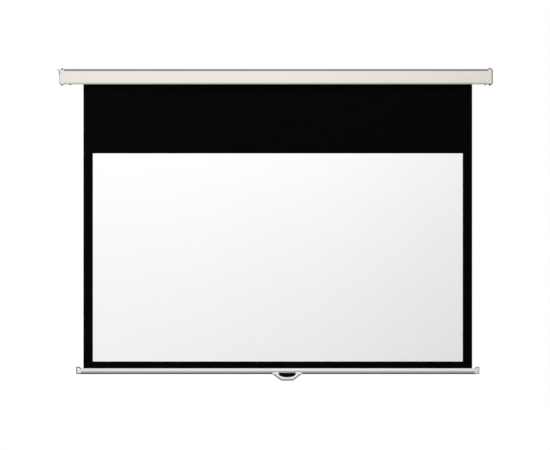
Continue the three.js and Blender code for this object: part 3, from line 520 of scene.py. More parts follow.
def bumped(tree, shader, height, depth, strength=1.0):
    """Lets a pattern of a real depth stand on the surface."""
    bump = add_node(tree, "ShaderNodeBump", {"Strength": strength, "Distance": depth}, {"Height": height})
    tree.links.new(bump.outputs["Normal"], shader.inputs["Normal"])


def patterned(name, tone, size, tint, gloss, relief=0.0, detail=2.0, tint_size=None, relief_size=None,
              run=None, **values):
    """A finish whose tint, gloss and relief follow noise with lumps of a real size.

    The tint and the relief may have lumps of their own size, and the lumps may run out along X."""
    tone = getattr(bpy.context.scene.screen_colours, tone)
    material, tree, shader, place = new_material(name, tone, sum(gloss) / 2, **values)
    if run:
        place = add_node(tree, "ShaderNodeMapping", {"Scale": (size / run, 1, 1)},
                         {"Vector": place}).outputs["Vector"]
    lumps = grain(tree, place, size, detail)
    shade = grain(tree, place, tint_size) if tint_size else lumps
    tree.links.new(tinted(tree, shade, tone, *tint), shader.inputs["Base Color"])
    tree.links.new(spread(tree, lumps, *gloss), shader.inputs["Roughness"])
    if relief:
        bumped(tree, shader, grain(tree, place, relief_size) if relief_size else lumps, relief)
    return material


FINISHES = {
    # Stoved enamel on steel: a satin skin with faint orange peel, lumps 3 mm across.
    "case_enamel": dict(name="Stoved cream enamel", tone="enamel", size=3 * MM, tint_size=240 * MM,
                        tint=(0.985, 1.01), gloss=(0.36, 0.48), relief=0.03 * MM,
                        **{"Specular IOR Level": 0.2}),
    # Moulded ABS: a fine spark grain of 0.8 mm that dulls the gloss.
    "cap_plastic": dict(name="Moulded cream ABS", tone="cap", size=0.8 * MM, detail=3.0, tint=(0.97, 1.02),
                        gloss=(0.44, 0.58), relief=0.04 * MM, **{"Specular IOR Level": 0.12}),
    # Powder coat on steel: pebbled, with lumps of 1.2 mm, and matt.
    "rail_steel": dict(name="Grey powder coat", tone="rail", size=1.2 * MM, detail=3.0, tint=(0.94, 1.05),
                       gloss=(0.48, 0.66), relief=0.05 * MM, **{"Specular IOR Level": 0.15}),
    # Zinc plating: bright grey metal whose gloss is patchy over 6 mm, with a fine tooth of 0.5 mm.
    "zinc_steel": dict(name="Bright zinc plate", tone="zinc", size=6 * MM, detail=4.0, tint=(0.9, 1.06),
                       gloss=(0.26, 0.46), relief=0.01 * MM, relief_size=0.5 * MM, Metallic=1.0),
    # Phosphated sheet: a dull crystalline grey, mottled over 4 mm.
    "lug_steel": dict(name="Phosphated steel", tone="steel", size=4 * MM, detail=4.0, tint=(0.88, 1.08),
                      gloss=(0.5, 0.7), Metallic=1.0),
    # Black oxide on screws: dark metal, browner and duller in patches of 2 mm.
    "dark_steel": dict(name="Black oxide steel", tone="oxide", size=2 * MM, detail=3.0, tint=(0.8, 1.2),
                       gloss=(0.32, 0.52), Metallic=1.0),
    # Anodised aluminium, drawn through a die: fine lines 0.5 mm apart that each run 400 mm.
    "drawn_aluminium": dict(name="Satin anodised aluminium", tone="aluminium", size=0.5 * MM, detail=3.0,
                            run=400 * MM, tint=(0.93, 1.05), gloss=(0.54, 0.68), relief=0.01 * MM,
                            Metallic=1.0),
    # Moulded nylon: waxy, slightly see-through and clouded over 5 mm.
    "nylon": dict(name="Natural nylon", tone="nylon", size=5 * MM, tint=(0.94, 1.03), gloss=(0.4, 0.52),
                  **{"Subsurface Weight": 0.15, "Subsurface Scale": 2 * MM}),
    # Moulded white ABS: satin, with a fine spark grain of 0.8 mm.
    "white_plastic": dict(name="Moulded white ABS", tone="plastic", size=0.8 * MM, detail=3.0,
                          tint=(0.975, 1.015), gloss=(0.32, 0.46), relief=0.03 * MM),
    # Extruded soft vinyl: black, with faint lines 0.6 mm apart that each run 300 mm; under the bar its black
    # stands partly for painted shade.
    "black_plastic": dict(name="Extruded black vinyl", tone="vinyl", size=0.6 * MM, run=300 * MM,
                          tint=(0.8, 1.25), gloss=(0.48, 0.66), relief=0.02 * MM,
                          **{"Specular IOR Level": 0.06}),
    # Moulded rubber: black and dull, with a grain of 1 mm.
    "black_rubber": dict(name="Moulded black rubber", tone="rubber", size=1 * MM, detail=3.0, tint=(0.8, 1.3),
                         gloss=(0.65, 0.85), relief=0.06 * MM, **{"Specular IOR Level": 0.06}),
}
finishes = {}


def finish_of(kind):
    """The material of a kind of finish, made when it is first asked for."""
    if kind not in finishes:
        finishes[kind] = patterned(**FINISHES[kind])
    return finishes[kind]


def screen_cloth_finish(name, inside=None):
    """Glass fibre cloth with a black coating and, inside a rectangle of its UV map, a white one.

    The map is in metres. The threads are 0.6 mm apart on the real cloth and are drawn 3 mm apart,
    so that they show at all. The black coating is dull, with a sheen that varies over 150 mm."""
    colours = bpy.context.scene.screen_colours
    material, tree, shader, _ = new_material(name, colours.mask, 0.35, **{"Specular IOR Level": 0.009})
    place = add_node(tree, "ShaderNodeUVMap", {"uv_map": "Cloth"}).outputs["UV"]
    waves = [add_node(tree, "ShaderNodeTexWave",
                      {"wave_type": "BANDS", "bands_direction": way, "wave_profile": "SIN",
                       "Scale": math.pi / 10 / (3 * MM), "Distortion": 0.4, "Detail": 1.0},
                      {"Vector": place}).outputs["Fac"] for way in ("X", "Y")]
    threads = add_node(tree, "ShaderNodeMath", {"operation": "MULTIPLY"},
                       dict(enumerate(waves))).outputs["Value"]
    cloud = grain(tree, place, 150 * MM)
    base, rough = tinted(tree, cloud, colours.mask, 0.85, 1.15), spread(tree, cloud, 0.32, 0.4)
    if inside:
        white = tinted(tree, cloud, colours.picture, 0.993, 1.004)
        parts = add_node(tree, "ShaderNodeSeparateXYZ", links={"Vector": place})
        within = None
        for axis, (low, high) in zip(("X", "Y"), inside):
            test = parts.outputs[axis]
            for operation, value in (("SUBTRACT", (low + high) / 2), ("ABSOLUTE", 0),
                                     ("LESS_THAN", (high - low) / 2)):
                test = add_node(tree, "ShaderNodeMath", {"operation": operation, 1: value},
                                {0: test}).outputs["Value"]
            within = test if within is None else add_node(
                tree, "ShaderNodeMath", {"operation": "MULTIPLY"}, {0: within, 1: test}).outputs["Value"]
        base = add_node(tree, "ShaderNodeMix", {"data_type": "RGBA"},
                        {0: within, 6: base, 7: white}).outputs[2]
        rough = add_node(tree, "ShaderNodeMix", {3: 0.9}, {0: within, 2: rough}).outputs[0]
    tree.links.new(base, shader.inputs["Base Color"])
    tree.links.new(rough, shader.inputs["Roughness"])
    bumped(tree, shader, threads, 0.05 * MM, 0.6)
    return material


def swept(start, pull, end, steps):
    """Points on the curve that leaves one point towards a second and comes from there into a third."""
    for i in range(steps + 1):
        t = i / steps
        yield tuple((1 - t) ** 2 * a + 2 * t * (1 - t) * b + t ** 2 * c for a, b, c in zip(start, pull, end))


def bar_corners(sizes, low, high, grow):
    """The section of the weight bar, grown all round: two crowned faces that meet at its widest line."""
    middle = (low.y + high.y) / 2
    half = (high.y - low.y) / 2 + grow
    top, foot, waist = high.z + grow, low.z + sizes.bar_foot_rise - grow, high.z - sizes.bar_waist
    spots = [(sizes.bar_foot / 2 + grow, foot), (half, waist), (sizes.bar_top / 2 + grow, top)]
    right = spots[:1]
    for start, end in zip(spots, spots[1:]):
        pull = ((start[0] + end[0]) / 2 + 2 * sizes.bar_crown, (start[1] + end[1]) / 2)
        right += list(swept(start, pull, end, sizes.curve_steps))[1:]
    return [(middle + u, v) for u, v in right + [(-u, v) for u, v in reversed(right)]]


class SCREEN_OT_stage(bpy.types.Operator):
    """Sets up the camera, the floor, the soft lamps and the white surroundings."""

    bl_idname = "screen.stage"
    bl_label = "Stage"

    def execute(self, context):
        sizes = context.scene.screen_sizes
        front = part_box("screen_backing")[0].y
        clear_hands()
        bpy.ops.object.camera_add(location=(sizes.view_x, front - sizes.camera_distance, sizes.view_z),
                                  rotation=(math.radians(90), 0, 0))
        camera = context.object
        camera.name = "Camera"
        camera.data.lens = camera.data.sensor_width * sizes.camera_distance / sizes.view_width
        camera.data.clip_end = 10 * sizes.camera_distance
        context.scene.camera = camera
        clear_hands()
        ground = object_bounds()[0][2] - sizes.floor_drop
        bpy.ops.mesh.primitive_plane_add(size=FLOOR_SIDE, location=(0, 0, ground))
        floor = named("floor")
        floor.data.materials.append(self.surroundings())
        floor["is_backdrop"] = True
        for name, (place, size, level) in LAMPS.items():
            self.lamp(name, place, size, level)
        self.world(context.scene)
        context.scene.view_settings.view_transform = "Standard"
        return {"FINISHED"}

    def lamp(self, name, place, size, level):
        """A square soft lamp that looks at the middle of the screen, at a share of white's level."""
        clear_hands()
        reach = Vector((0, 0, bpy.context.scene.screen_sizes.view_z)) - Vector(place)
        turn = reach.to_track_quat("-Z", "Y").to_euler()
        bpy.ops.object.light_add(type="AREA", location=place, rotation=turn)
        lamp = bpy.context.object
        lamp.name = name
        lamp.data.size = size
        lamp.data.energy = level * (math.pi * reach.length) ** 2

    def white_to_view(self, tree):
        """1 for what the camera, a reflection or a see-through piece looks at, and 0 for other light."""
        rays = add_node(tree, "ShaderNodeLightPath").outputs
        seen = rays["Is Camera Ray"]
        for name in ("Is Glossy Ray", "Is Transmission Ray"):
            seen = add_node(tree, "ShaderNodeMath", {"operation": "MAXIMUM"},
                            {0: seen, 1: rays[name]}).outputs["Value"]
        return seen

    def surroundings(self):
        """A pale floor that is dull to the light and near white to the view, and keeps a shadow."""
        material = bpy.data.materials.new("Pale floor")
        material.use_nodes = True
        tree = material.node_tree
        tree.nodes.clear()
        dull = add_node(tree, "ShaderNodeBsdfDiffuse", {"Color": linear("#A8A8A6")})
        white = add_node(tree, "ShaderNodeEmission", {"Color": linear("#FFFFFF"), "Strength": FLOOR_GLOW})
        bright = add_node(tree, "ShaderNodeAddShader", links={0: dull.outputs[0], 1: white.outputs[0]})
        mix = add_node(tree, "ShaderNodeMixShader",
                       links={0: self.white_to_view(tree), 1: dull.outputs[0], 2: bright.outputs[0]})
        add_node(tree, "ShaderNodeOutputMaterial", links={"Surface": mix.outputs[0]})
        return material

    def world(self, scene):
        """White to the view, and a low even light on the object."""
        world = bpy.data.worlds.new("Studio")
        world.use_nodes = True
        tree = world.node_tree
        tree.nodes.clear()
        strength = spread(tree, self.white_to_view(tree), SKY_LEVEL, 1.0)
        light = add_node(tree, "ShaderNodeBackground", {"Color": linear("#FFFFFF")}, {"Strength": strength})
        add_node(tree, "ShaderNodeOutputWorld", links={"Surface": light.outputs["Background"]})
        scene.world = world


class SCREEN_OT_cloth(bpy.types.Operator):
    """Hangs the cloth from the roller and leaves its bottom mask on the weight bar."""

    bl_idname = "screen.cloth"
    bl_label = "Hanging cloth"

    def execute(self, context):
        sizes = context.scene.screen_sizes
        low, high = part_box("screen_backing")
        picture_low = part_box("viewing_layer")[0].z
        width = high.x - low.x
        margin = (width - sizes.image_width) / 2
        picture = [(margin, width - margin), (0, sizes.image_height)]
        hanging = self.sheet("hanging_cloth", low, high, picture_low, high.z, sizes.cloth_rows)
        self.ripple(hanging, sizes, (low.x + high.x) / 2, width / 2, picture_low, high.z)
        self.coat(hanging, sizes, "case", screen_cloth_finish("Black and white coated cloth", picture))
        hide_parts("screen_backing", "viewing_layer")
        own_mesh(hanging)
        bottom = self.sheet("bottom_mask", low, high, low.z, picture_low, sizes.mask_rows)
        self.coat(bottom, sizes, "bar", screen_cloth_finish("Black coated cloth"))
        return {"FINISHED"}

    def sheet(self, name, low, high, bottom, top, rows):
        """A flat upright sheet in a grid, as wide as the cloth."""
        clear_hands()
        bpy.ops.mesh.primitive_plane_add(
            size=1, location=((low.x + high.x) / 2, (low.y + high.y) / 2, (bottom + top) / 2),
            rotation=(math.radians(90), 0, 0))
        bpy.context.object.scale = (high.x - low.x, top - bottom, 1)
        piece = named(name)
        take(piece, "EDIT")
        pick("EDGE", lambda place, way: abs(way.z) > 0.5)
        bpy.ops.mesh.subdivide(number_cuts=rows - 1)
        pick("EDGE", lambda place, way: abs(way.x) > 0.5)
        bpy.ops.mesh.subdivide(number_cuts=bpy.context.scene.screen_sizes.cloth_columns - 1)
        return take(piece)

    def ripple(self, piece, sizes, middle, half, bottom, top):
        """Bows the cloth towards the wall where neither the roller nor the bar holds it straight."""
        for corner in piece.data.vertices:
            across = (corner.co.x - middle) / half
            free = math.sin(math.pi * (top - corner.co.z) / (top - bottom))
            wave = (1 + math.sin(sizes.ripple_count * math.pi * across + sizes.ripple_sway * free)) / 2
            near = max(0.0, 1 - (1 - abs(across)) * half / sizes.curl_width)
            corner.co.y += free * (sizes.ripple * wave + sizes.edge_curl * near * near)

    def coat(self, piece, sizes, body, material):
        """Gives the sheet its thickness, its finish, and a map in metres, with the back left of zero."""
        modify(piece, "SOLIDIFY", thickness=sizes.cloth, offset=0)
        layer = piece.data.uv_layers[0]
        layer.name = "Cloth"
        places = [corner.co for corner in piece.data.vertices]
        left, bottom = min(place.x for place in places), min(place.z for place in places)
        for face in piece.data.polygons:
            side = -1 if face.normal.y > 0.5 else 1
            for index in face.loop_indices:
                place = places[piece.data.loops[index].vertex_index]
                layer.data[index].uv = (side * (place.x - left), place.z - bottom)
        take(piece)
        bpy.ops.object.shade_smooth_by_angle(angle=math.radians(40))
        piece.data.materials.clear()
        piece.data.materials.append(material)
        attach(piece, body)


class SCREEN_OT_wound_cloth(bpy.types.Operator):
    """Winds the strip of cloth that stays on the roller."""

    bl_idname = "screen.wound_cloth"
    bl_label = "Wound cloth"

    def execute(self, context):
        sizes = context.scene.screen_sizes
        low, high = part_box("wound_cloth")
        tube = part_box("roller_tube")
        axis_y, axis_z = (tube[0].y + tube[1].y) / 2, (tube[0].z + tube[1].z) / 2
        outer = high.y - axis_y - sizes.cloth / 2
        inner = (tube[1].z - tube[0].z) / 2 + FIT + sizes.cloth / 2
        line = []
        for i in range(sizes.wound_facets + 1):
            done = i / sizes.wound_facets
            angle = 2 * math.pi * sizes.wound_turns * done
            radius = outer + (inner - outer) * done
            line.append((axis_y + radius * math.cos(angle), axis_z + radius * math.sin(angle)))
        wound = bent_sheet("cloth_on_roller", "X", low.x, high.x, line, sizes.cloth, 0)
        wound.data.uv_layers.new(name="Cloth")
        for loop in wound.data.loops:
            place = wound.data.vertices[loop.vertex_index].co
            turn = math.atan2(place.z - axis_z, place.y - axis_y)
            wound.data.uv_layers["Cloth"].data[loop.index].uv = (place.x - low.x, turn * outer)
        finished(wound, "roller", "black_cloth", "wound_cloth", angle=40,
                 finish=screen_cloth_finish("Black coated cloth, wound"))
        return {"FINISHED"}


class SCREEN_OT_case(bpy.types.Operator):
    """Bends the cream case from one sheet, open below in a slot for the cloth."""

    bl_idname = "screen.case"
    bl_label = "Case"

    def execute(self, context):
        sizes = context.scene.screen_sizes
        low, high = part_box("case_shell")
        cloth_y = sum(corner.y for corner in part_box("screen_backing")) / 2
        slot_front = cloth_y - sizes.slot_ahead
        slot_rear = high.y - sizes.rear_flange
        lip = low.z + sizes.lip
        case = bent_sheet("case_cover", "X", low.x, high.x, [
            (slot_front, lip), (slot_front, low.z, sizes.lip_bend), (low.y, low.z, sizes.front_bend),
            (low.y, high.z, sizes.top_bend), (high.y, high.z, sizes.back_bend),
            (high.y, low.z, sizes.back_bend), (slot_rear, low.z, sizes.lip_bend), (slot_rear, lip),
        ], sizes.sheet, -1, 10)
        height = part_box("mounting_rail")[1].z - sizes.keyhole_below
        for side in (-1, 1):
            drill(case, sizes.keyhole_head + sizes.window_margin, "Y",
                  Vector((side * sizes.keyhole_reach, high.y, height)), facets=48)
        finished(case, "case", "case_enamel", "case_shell")
        return {"FINISHED"}


class SCREEN_OT_rail(bpy.types.Operator):
    """Bends the grey mounting rail and cuts its keyholes."""

    bl_idname = "screen.rail"
    bl_label = "Mounting rail"

    def execute(self, context):
        sizes = context.scene.screen_sizes
        low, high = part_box("mounting_rail")
        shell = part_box("case_shell")
        front_lip, top = shell[1].z + FIT, shell[1].z + sizes.rail_rise
        rail = bent_sheet("wall_rail", "X", low.x, high.x, [
            (high.y, low.z), (high.y, top, sizes.rail_bend), (low.y, top, sizes.rail_bend),
            (low.y, front_lip)], sizes.rail, -1, 8)
        cap_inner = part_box("end_cap_right")[0].x - FIT
        for side in (-1, 1):
            ends = sorted((side * cap_inner, side * (high.x + OVERRUN)))
            front = shell[1].y if side > 0 else low.y - OVERRUN
            cut(rail, block("notch", (ends[0], front, low.z - OVERRUN),
                            (ends[1], high.y + OVERRUN, high.z + OVERRUN)))
            self.keyhole(rail, sizes, side * sizes.keyhole_reach, high)
        for i in range(1, 5):
            drill(rail, sizes.small_hole, "Y", sum(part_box(f"rail_rivet_{i}"), Vector()) / 2, 3 * OVERRUN)
        finished(rail, "case", "rail_steel", "mounting_rail")
        return {"FINISHED"}

    def keyhole(self, rail, sizes, x, high):
        """One keyhole, wide below and narrow above."""
        reach = AXES["Y"] * OVERRUN
        wide = Vector((x, high.y, high.z - sizes.keyhole_below))
        narrow = wide + AXES["Z"] * sizes.keyhole_drop
        across = AXES["X"] * sizes.keyhole_neck
        drill(rail, sizes.keyhole_head, "Y", wide, facets=48)
        drill(rail, sizes.keyhole_neck, "Y", narrow)
        cut(rail, block("slot", wide - reach - across, narrow + reach + across))


class SCREEN_OT_end_caps(bpy.types.Operator):
    """Moulds the two end caps of the case, and the grey plates round their ends, which stand partly for
    painted shade along the caps' outer rims.
    """

    bl_idname = "screen.end_caps"
    bl_label = "End caps"

    def execute(self, context):
        sizes = context.scene.screen_sizes
        edge = sizes.cap_edge
        least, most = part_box("case_shell")
        for word, side, plate, drop in (("left", -1, sizes.end_plate_left, sizes.left_cap_drop),
                                        ("right", 1, sizes.end_plate_right, 0)):
            low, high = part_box(f"end_cap_{word}")
            high = high - AXES["Z"] * drop
            outer, inner = (high.x, low.x) if side > 0 else (low.x, high.x)
            roof = min(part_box("mounting_rail")[1].z + FIT, high.z - sizes.cap_roof)

            def room():
                """What the cap and its plate leave free for the case and the rail."""
                mouth, end = inner - side * OVERRUN, outer - side * (plate + sizes.cap_end)
                return (bar_of("pocket", "X", mouth, outer - side * edge, [
                    (least.y - FIT, least.z - FIT, sizes.front_bend),
                    (most.y + FIT, least.z - FIT, sizes.back_bend),
                    (most.y + FIT, roof, FIT), (least.y - FIT, roof, sizes.top_bend),
                ]), bar_of("hollow", "X", mouth + side * OVERRUN / 2, end, [
                    (least.y + edge, least.z + edge, edge / 4), (most.y - edge, least.z + edge, edge / 4),
                    (most.y - edge, roof - edge, edge / 4), (least.y + edge, roof - edge, edge / 4)]))

            def form(name):
                """The whole rounded form of the cap."""
                piece = block(name, low, high)
                eased(piece, lambda place, way: abs(way.x) > 0.9, sizes.cap_corner, 8)
                return eased(piece, lambda place, way: abs(place.x - outer) < SNAP, edge, 8)

            def core(depth):
                """The form without its skin above, below and at the end."""
                reach = sorted((inner - side * OVERRUN, outer - side * depth))
                turn = max(edge - depth, FIT)
                return bar_of("core", "Y", low.y - OVERRUN, high.y + OVERRUN, [
                    (reach[0], low.z + depth, turn), (reach[1], low.z + depth, turn),
                    (reach[1], high.z - depth, turn), (reach[0], high.z - depth, turn)], 10)

            # The trim is the grey plate round the cap's end, which stands partly for painted shade along its
            # outer rim.
            cap, trim = trimmed(f"case_cap_{word}", f"end_plate_{word}", form, core, room, plate)
            finished(cap, "case", "cap_plastic", f"end_cap_{word}")
            finished(trim, "case", "rail_steel")
        return {"FINISHED"}


class SCREEN_OT_lug(bpy.types.Operator):
    """Bends the small lug that stands out at the top of the left cap."""

    bl_idname = "screen.lug"
    bl_label = "Hanging lug"

    def execute(self, context):
        sizes = context.scene.screen_sizes
        low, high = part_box("hanging_lug")
        sheet, face = sizes.lug_sheet, high.x - sizes.lug_sheet
        heel, tip = Vector((high.x, high.z - sizes.lug_bend)), Vector((low.x + sheet / 2, high.z))
        slope = (tip - heel).normalized()
        down = slope.orthogonal()

        def under(depth, x):
            """The point at a depth under the tab's top face, at a place across."""
            spot = tip + down * depth
            return tuple(spot + slope * ((x - spot.x) / slope.x))

        lug = bar_of("corner_lug", "Y", low.y, high.y, [
            (high.x, low.z), (heel.x, heel.y, sheet / 2), (tip.x, tip.y, FIT),
            tuple(tip + down * sizes.lug_rib), under(sizes.lug_rib, face), (face, low.z)])
        beyond, below = slope * OVERRUN, sizes.lug_rib + OVERRUN
        cut(lug, bar_of("between_ribs", "Y", low.y + sheet, high.y - sheet, [
            under(sheet, face - FIT), tuple(tip + down * sheet + beyond), tuple(tip + down * below + beyond),
            under(below, face - FIT)]))
        eased(lug, lambda place, way: abs(way.x) > 0.6 and abs(way.y) < 0.1 and abs(place.z - low.z) < SNAP,
              sizes.lug_corner, 5)
        drill(lug, sizes.small_hole, "X", sum(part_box("lug_screw"), Vector()) / 2, 3 * OVERRUN)
        finished(lug, "case", "zinc_steel", "hanging_lug", finish=finish_of("lug_steel"))
        return {"FINISHED"}


class SCREEN_OT_screws(bpy.types.Operator):
    """Turns each kind of pan head screw once and sets a copy in each of its places."""

    bl_idname = "screen.screws"
    bl_label = "Screws"

    def execute(self, context):
        for size, slot, body, places in SCREWS:
            master = self.pan_head(*(value * MM for value in size))
            for node, way, proud in places:
                self.place(master, node, way, body, slot, proud * MM)
            bpy.data.objects.remove(master)
        return {"FINISHED"}

    def pan_head(self, radius, height, shank, reach, slot):
        """A screw on the Z axis, its head's bearing face at zero, with a crossed recess."""
        point, rim = 0.4 * MM, 0.2 * MM
        dome = [(height * (0.7 + 0.3 * math.sin(t)), radius * math.cos(t)) for t in
                (math.pi / 2 * i / 6 for i in range(6))]
        screw = turned("screw", [(-reach, 0), (-reach, shank - point), (point - reach, shank), (0, shank),
                                 (0, radius - rim), (rim, radius)] + dome + [(height, 0)])
        arm, floor = 0.55 * radius, 0.35 * height
        for u, v in ((arm, slot / 2), (slot / 2, arm)):
            cut(screw, block("recess", (-u, -v, floor), (u, v, height + OVERRUN)))
        return screw

    def place(self, master, node, way, body, slot, proud):
        """A copy of a screw, with its own mesh, where a node of the frame stands."""
        low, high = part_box(node)
        axis = AXES[way[1]] * (1 if way[0] == "+" else -1)
        top = max(corner.co.z for corner in master.data.vertices)
        reach = (high - low).dot(AXES[way[1]]) / 2
        take(master)
        bpy.ops.object.duplicate()
        screw = bpy.context.object
        turn = AXES["Z"].rotation_difference(axis).to_matrix().to_4x4()
        screw.matrix_world = Matrix.Translation((low + high) / 2 + axis * (reach - top + proud)) @ turn
        finished(named(f"{node}_fine"), body, slot, node)


class SCREEN_OT_bar(bpy.types.Operator):
    """Draws the weight bar through its die, with its hem groove and foot channel."""

    bl_idname = "screen.bar"
    bl_label = "Weight bar"

    def execute(self, context):
        sizes = context.scene.screen_sizes
        low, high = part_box("weight_bar")
        middle = (low.y + high.y) / 2
        ends = (low.x - OVERRUN, high.x + OVERRUN)
        hem = high.z - sizes.hem_depth
        floor = low.z + sizes.bar_wall
        roof = floor + sizes.channel_height

        def groove(name, half, bottom, top):
            """A groove of a half width that runs the whole length of the bar."""
            return block(name, (ends[0], middle - half, bottom), (ends[1], middle + half, top))

        bar = bar_of("drawn_bar", "X", low.x, high.x, bar_corners(sizes, low, high, 0))
        cut(bar, rod("hem", sizes.hem_rod + FIT, "X", (ends[0], middle, hem), (ends[1], middle, hem)),
            groove("slot", sizes.hem_slot / 2, hem, high.z + OVERRUN),
            groove("channel", sizes.channel_half, floor, roof),
            groove("mouth", sizes.channel_mouth, low.z - OVERRUN, roof))
        finished(bar, "bar", "drawn_aluminium", "weight_bar")
        return {"FINISHED"}


class SCREEN_OT_foot_strip(bpy.types.Operator):
    """Runs the black strip in the bar's foot channel; its black stands partly for painted shade along the
    bar's underside.
    """

    bl_idname = "screen.foot_strip"
    bl_label = "Foot strip"

    def execute(self, context):
        sizes = context.scene.screen_sizes
        low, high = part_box("foot_strip")
        middle, half = (low.y + high.y) / 2, (high.y - low.y) / 2
        neck, head = sizes.channel_mouth - FIT, sizes.channel_half - FIT
        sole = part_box("weight_bar")[0].z + sizes.bar_foot_rise - HAIR
        neck_top = high.z - sizes.channel_height + 2 * FIT
        right = [(half, low.z, 2 * FIT), (half, sole, FIT), (neck, sole), (neck, neck_top), (head, neck_top),
                 (head, high.z, sizes.strip_head_round)]
        left = [(-corner[0],) + corner[1:] for corner in reversed(right)]
        corners = [(middle + corner[0],) + corner[1:] for corner in right + left]
        strip = bar_of("black_foot_strip", "X", low.x, high.x, corners, 5)
        finished(strip, "bar", "black_plastic", "foot_strip")
        return {"FINISHED"}


class SCREEN_OT_bar_caps(bpy.types.Operator):
    """Moulds the bar's white caps, which stand above it and stop against the case, and their black edging,
    which stands partly for painted shade along the caps' outlines.
    """

    bl_idname = "screen.bar_caps"
    bl_label = "Bar caps"

    def execute(self, context):
        sizes = context.scene.screen_sizes
        bar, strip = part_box("weight_bar"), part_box("foot_strip")
        corner, lean = sizes.bar_cap_round, sizes.bar_cap_lean
        waist = bar[1].z - sizes.bar_waist
        for word, side, rim in (("left", -1, sizes.edging_left), ("right", 1, sizes.edging_right)):
            low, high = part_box(f"bar_cap_{word}")
            outer, inner = (high.x, low.x) if side > 0 else (low.x, high.x)

            def outline(reach):
                """The cap seen from the front, its inner end moved out by a reach."""
                knee = Vector((outer - side * sizes.cap_flat, high.z))
                foot = Vector((inner, bar[1].z + sizes.cap_slope_foot))
                tip = foot + (foot - knee) * (reach / abs(foot.x - knee.x))
                ring = [(tip.x, low.z, FIT), (outer, low.z, corner), (outer, high.z, corner),
                        (knee.x, knee.y, corner), (tip.x, tip.y, FIT)]
                return ring if side > 0 else ring[::-1]

            def form(name):
                """The whole form of the cap, whose lower half leans in as the bar's does."""
                piece = kept(bar_of(name, "Y", low.y, high.y, outline(0)),
                             bar_of("side_view", "X", low.x - OVERRUN, high.x + OVERRUN, [
                                 (low.y + lean, low.z), (high.y - lean, low.z), (high.y, waist),
                                 (high.y, high.z), (low.y, high.z), (low.y, waist)]))
                return beveled(piece, sizes.bar_cap_edge / 2, 3)

            def core(depth):
                """The form without its skin above, below and at the outer end."""
                return bar_of("core", "Y", low.y - OVERRUN, high.y + OVERRUN,
                              moved_in(outline(2 * OVERRUN), depth))

            def room():
                """What the cap and its edging leave free for the bar and its foot strip."""
                ends = sorted((inner - side * OVERRUN, inner + side * sizes.bar_cap_pocket))
                return (bar_of("pocket", "X", *ends, bar_corners(sizes, bar[0], bar[1], FIT)),
                        block("foot", (ends[0], strip[0].y - FIT, low.z - OVERRUN),
                              (ends[1], strip[1].y + FIT, bar[0].z + sizes.bar_foot_rise)))

            # The edging is black to paint, in part, the shade along the cap's outline.
            cap, trim = trimmed(f"bar_end_{word}", f"bar_end_edging_{word}", form, core, room, rim)
            finished(cap, "bar", "white_plastic", f"bar_cap_{word}")
            finished(trim, "bar", "black_rubber")
        return {"FINISHED"}


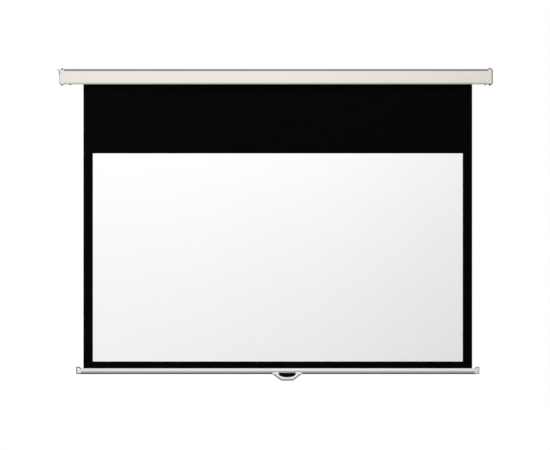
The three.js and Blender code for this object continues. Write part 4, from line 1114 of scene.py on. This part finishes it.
class SCREEN_OT_handle(bpy.types.Operator):
    """Moulds the pull handle with its finger recess, its black edging, which stands partly for painted shade
    along its outline, and the recess's black lining.
    """

    bl_idname = "screen.handle"
    bl_label = "Pull handle"

    def execute(self, context):
        sizes = context.scene.screen_sizes
        low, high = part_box("pull_handle")
        bar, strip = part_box("weight_bar"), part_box("foot_strip")
        under = strip[0].z
        middle, half = (low.x + high.x) / 2, (high.x - low.x) / 2
        right = [(sizes.handle_flat / 2, low.z, sizes.handle_round), (half, under, sizes.handle_taper),
                 (half - sizes.handle_taper, high.z, sizes.handle_tab_round)]
        left = [(-u, v, radius) for u, v, radius in reversed(right)]
        corners = [(middle + u, v, radius) for u, v, radius in right + left]
        ends = (low.x - OVERRUN, high.x + OVERRUN)
        handle = bar_of("moulded_handle", "Y", low.y, high.y, corners, 10)
        kept(handle, bar_of("side_view", "X", *ends, [
            (low.y, low.z, sizes.handle_chin), (high.y, low.z, sizes.handle_edge), (high.y, high.z),
            (low.y, high.z)], 10))
        beveled(handle, sizes.handle_edge, 4)
        cut(handle, self.edging("rebate", corners, -OVERRUN, sizes.handle_rim + FIT, low.y - OVERRUN,
                                high.y + OVERRUN, under))
        # The black edging paints, in part, the shade along the handle's sloping sides and bottom.
        rim = self.edging("black_handle_rim", corners, 0, sizes.handle_rim, low.y + sizes.edging_shade_back,
                          high.y - sizes.edging_shade_back, under)
        finished(rim, "bar", "black_rubber")
        cut(handle, bar_of("saddle", "X", *ends, bar_corners(sizes, bar[0], bar[1], FIT)),
            block("footway", (ends[0], strip[0].y - FIT, under - FIT),
                  (ends[1], strip[1].y + FIT, bar[0].z)),
            block("middle", (middle - sizes.recess_width / 2, low.y - OVERRUN, under - HAIR),
                  (middle + sizes.recess_width / 2, high.y + OVERRUN, high.z + OVERRUN)),
            self.half_moon("recess", middle, under, 0, low.y - OVERRUN, high.y - sizes.recess_back, OVERRUN))
        finished(handle, "bar", "white_plastic", "pull_handle")
        low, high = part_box("handle_grip")
        wall = sizes.grip_wall
        tray = self.half_moon("grip_lining", middle, under, FIT, low.y, high.y, 0)
        cut(tray, self.half_moon("hollow", middle, under, FIT + wall, low.y - OVERRUN, high.y - wall,
                                 OVERRUN))
        finished(tray, "bar", "black_rubber", "handle_grip")
        return {"FINISHED"}

    def edging(self, name, corners, outside, inside, front, rear, top):
        """A band that follows the handle's outline between two depths, and ends above at its tabs."""
        band = bar_of(name, "Y", front, rear, moved_in(corners, outside), 10)
        reach = 2 * max(abs(value) for corner in corners for value in corner[:2])
        return cut(band, bar_of("core", "Y", front - OVERRUN, rear + OVERRUN, moved_in(corners, inside), 10),
                   block("above", (-reach, front - OVERRUN, top), (reach, rear + OVERRUN, reach)))

    def half_moon(self, name, middle, under, inset, front, rear, lift):
        """A half ellipse below the bar, run from front to rear, with a lift of its flat top."""
        sizes = bpy.context.scene.screen_sizes
        across, down = sizes.recess_width / 2 - inset, sizes.recess_drop - inset
        turns = [math.pi * i / sizes.recess_facets for i in range(sizes.recess_facets + 1)]
        corners = [(middle + across * math.cos(t), under - FIT - down * math.sin(t)) for t in turns]
        if lift:
            corners = ([(middle + across, under - FIT + lift)] + corners
                       + [(middle - across, under - FIT + lift)])
        return bar_of(name, "Y", front, rear, corners, 1)


class SCREEN_OT_fittings(bpy.types.Operator):
    """Gives its finish to each piece that is shown as the frame holds it."""

    bl_idname = "screen.fittings"
    bl_label = "Carried pieces"

    def execute(self, context):
        slots = {part["node"]: part["material_slot"] for part in frame["record"]["subparts"]}
        for name, piece in frame["nodes"].items():
            if not piece.hide_render:
                piece.data.materials.clear()
                piece.data.materials.append(finish_of(slots[name]))
        return {"FINISHED"}


STEPS = ("stage", "cloth", "wound_cloth", "case", "rail", "end_caps", "lug", "screws", "bar", "foot_strip",
         "bar_caps", "handle", "fittings")


class SCREEN_PT_panel(bpy.types.Panel):
    """Lists the steps that build the screen, in order."""

    bl_idname = "SCREEN_PT_panel"
    bl_label = "Projector screen"
    bl_space_type = "VIEW_3D"
    bl_region_type = "UI"
    bl_category = "Screen"

    def draw(self, context):
        for step in STEPS:
            self.layout.operator(f"screen.{step}")


CLASSES = (ScreenSizes, ScreenColours, SCREEN_OT_stage, SCREEN_OT_cloth, SCREEN_OT_wound_cloth,
           SCREEN_OT_case, SCREEN_OT_rail, SCREEN_OT_end_caps, SCREEN_OT_lug, SCREEN_OT_screws,
           SCREEN_OT_bar, SCREEN_OT_foot_strip, SCREEN_OT_bar_caps, SCREEN_OT_handle,
           SCREEN_OT_fittings, SCREEN_PT_panel)


def register():
    """Makes the classes known and hangs the sizes and colours on the scene."""
    for item in CLASSES:
        bpy.utils.register_class(item)
    bpy.types.Scene.screen_sizes = PointerProperty(type=ScreenSizes)
    bpy.types.Scene.screen_colours = PointerProperty(type=ScreenColours)


def unregister():
    """Takes away what register added."""
    del bpy.types.Scene.screen_colours
    del bpy.types.Scene.screen_sizes
    for item in reversed(CLASSES):
        bpy.utils.unregister_class(item)


def main():
    """Builds the screen step by step."""
    register()
    for step in STEPS:
        getattr(bpy.ops.screen, step)()
    clear_hands()


if __name__ == "__main__":
    main()
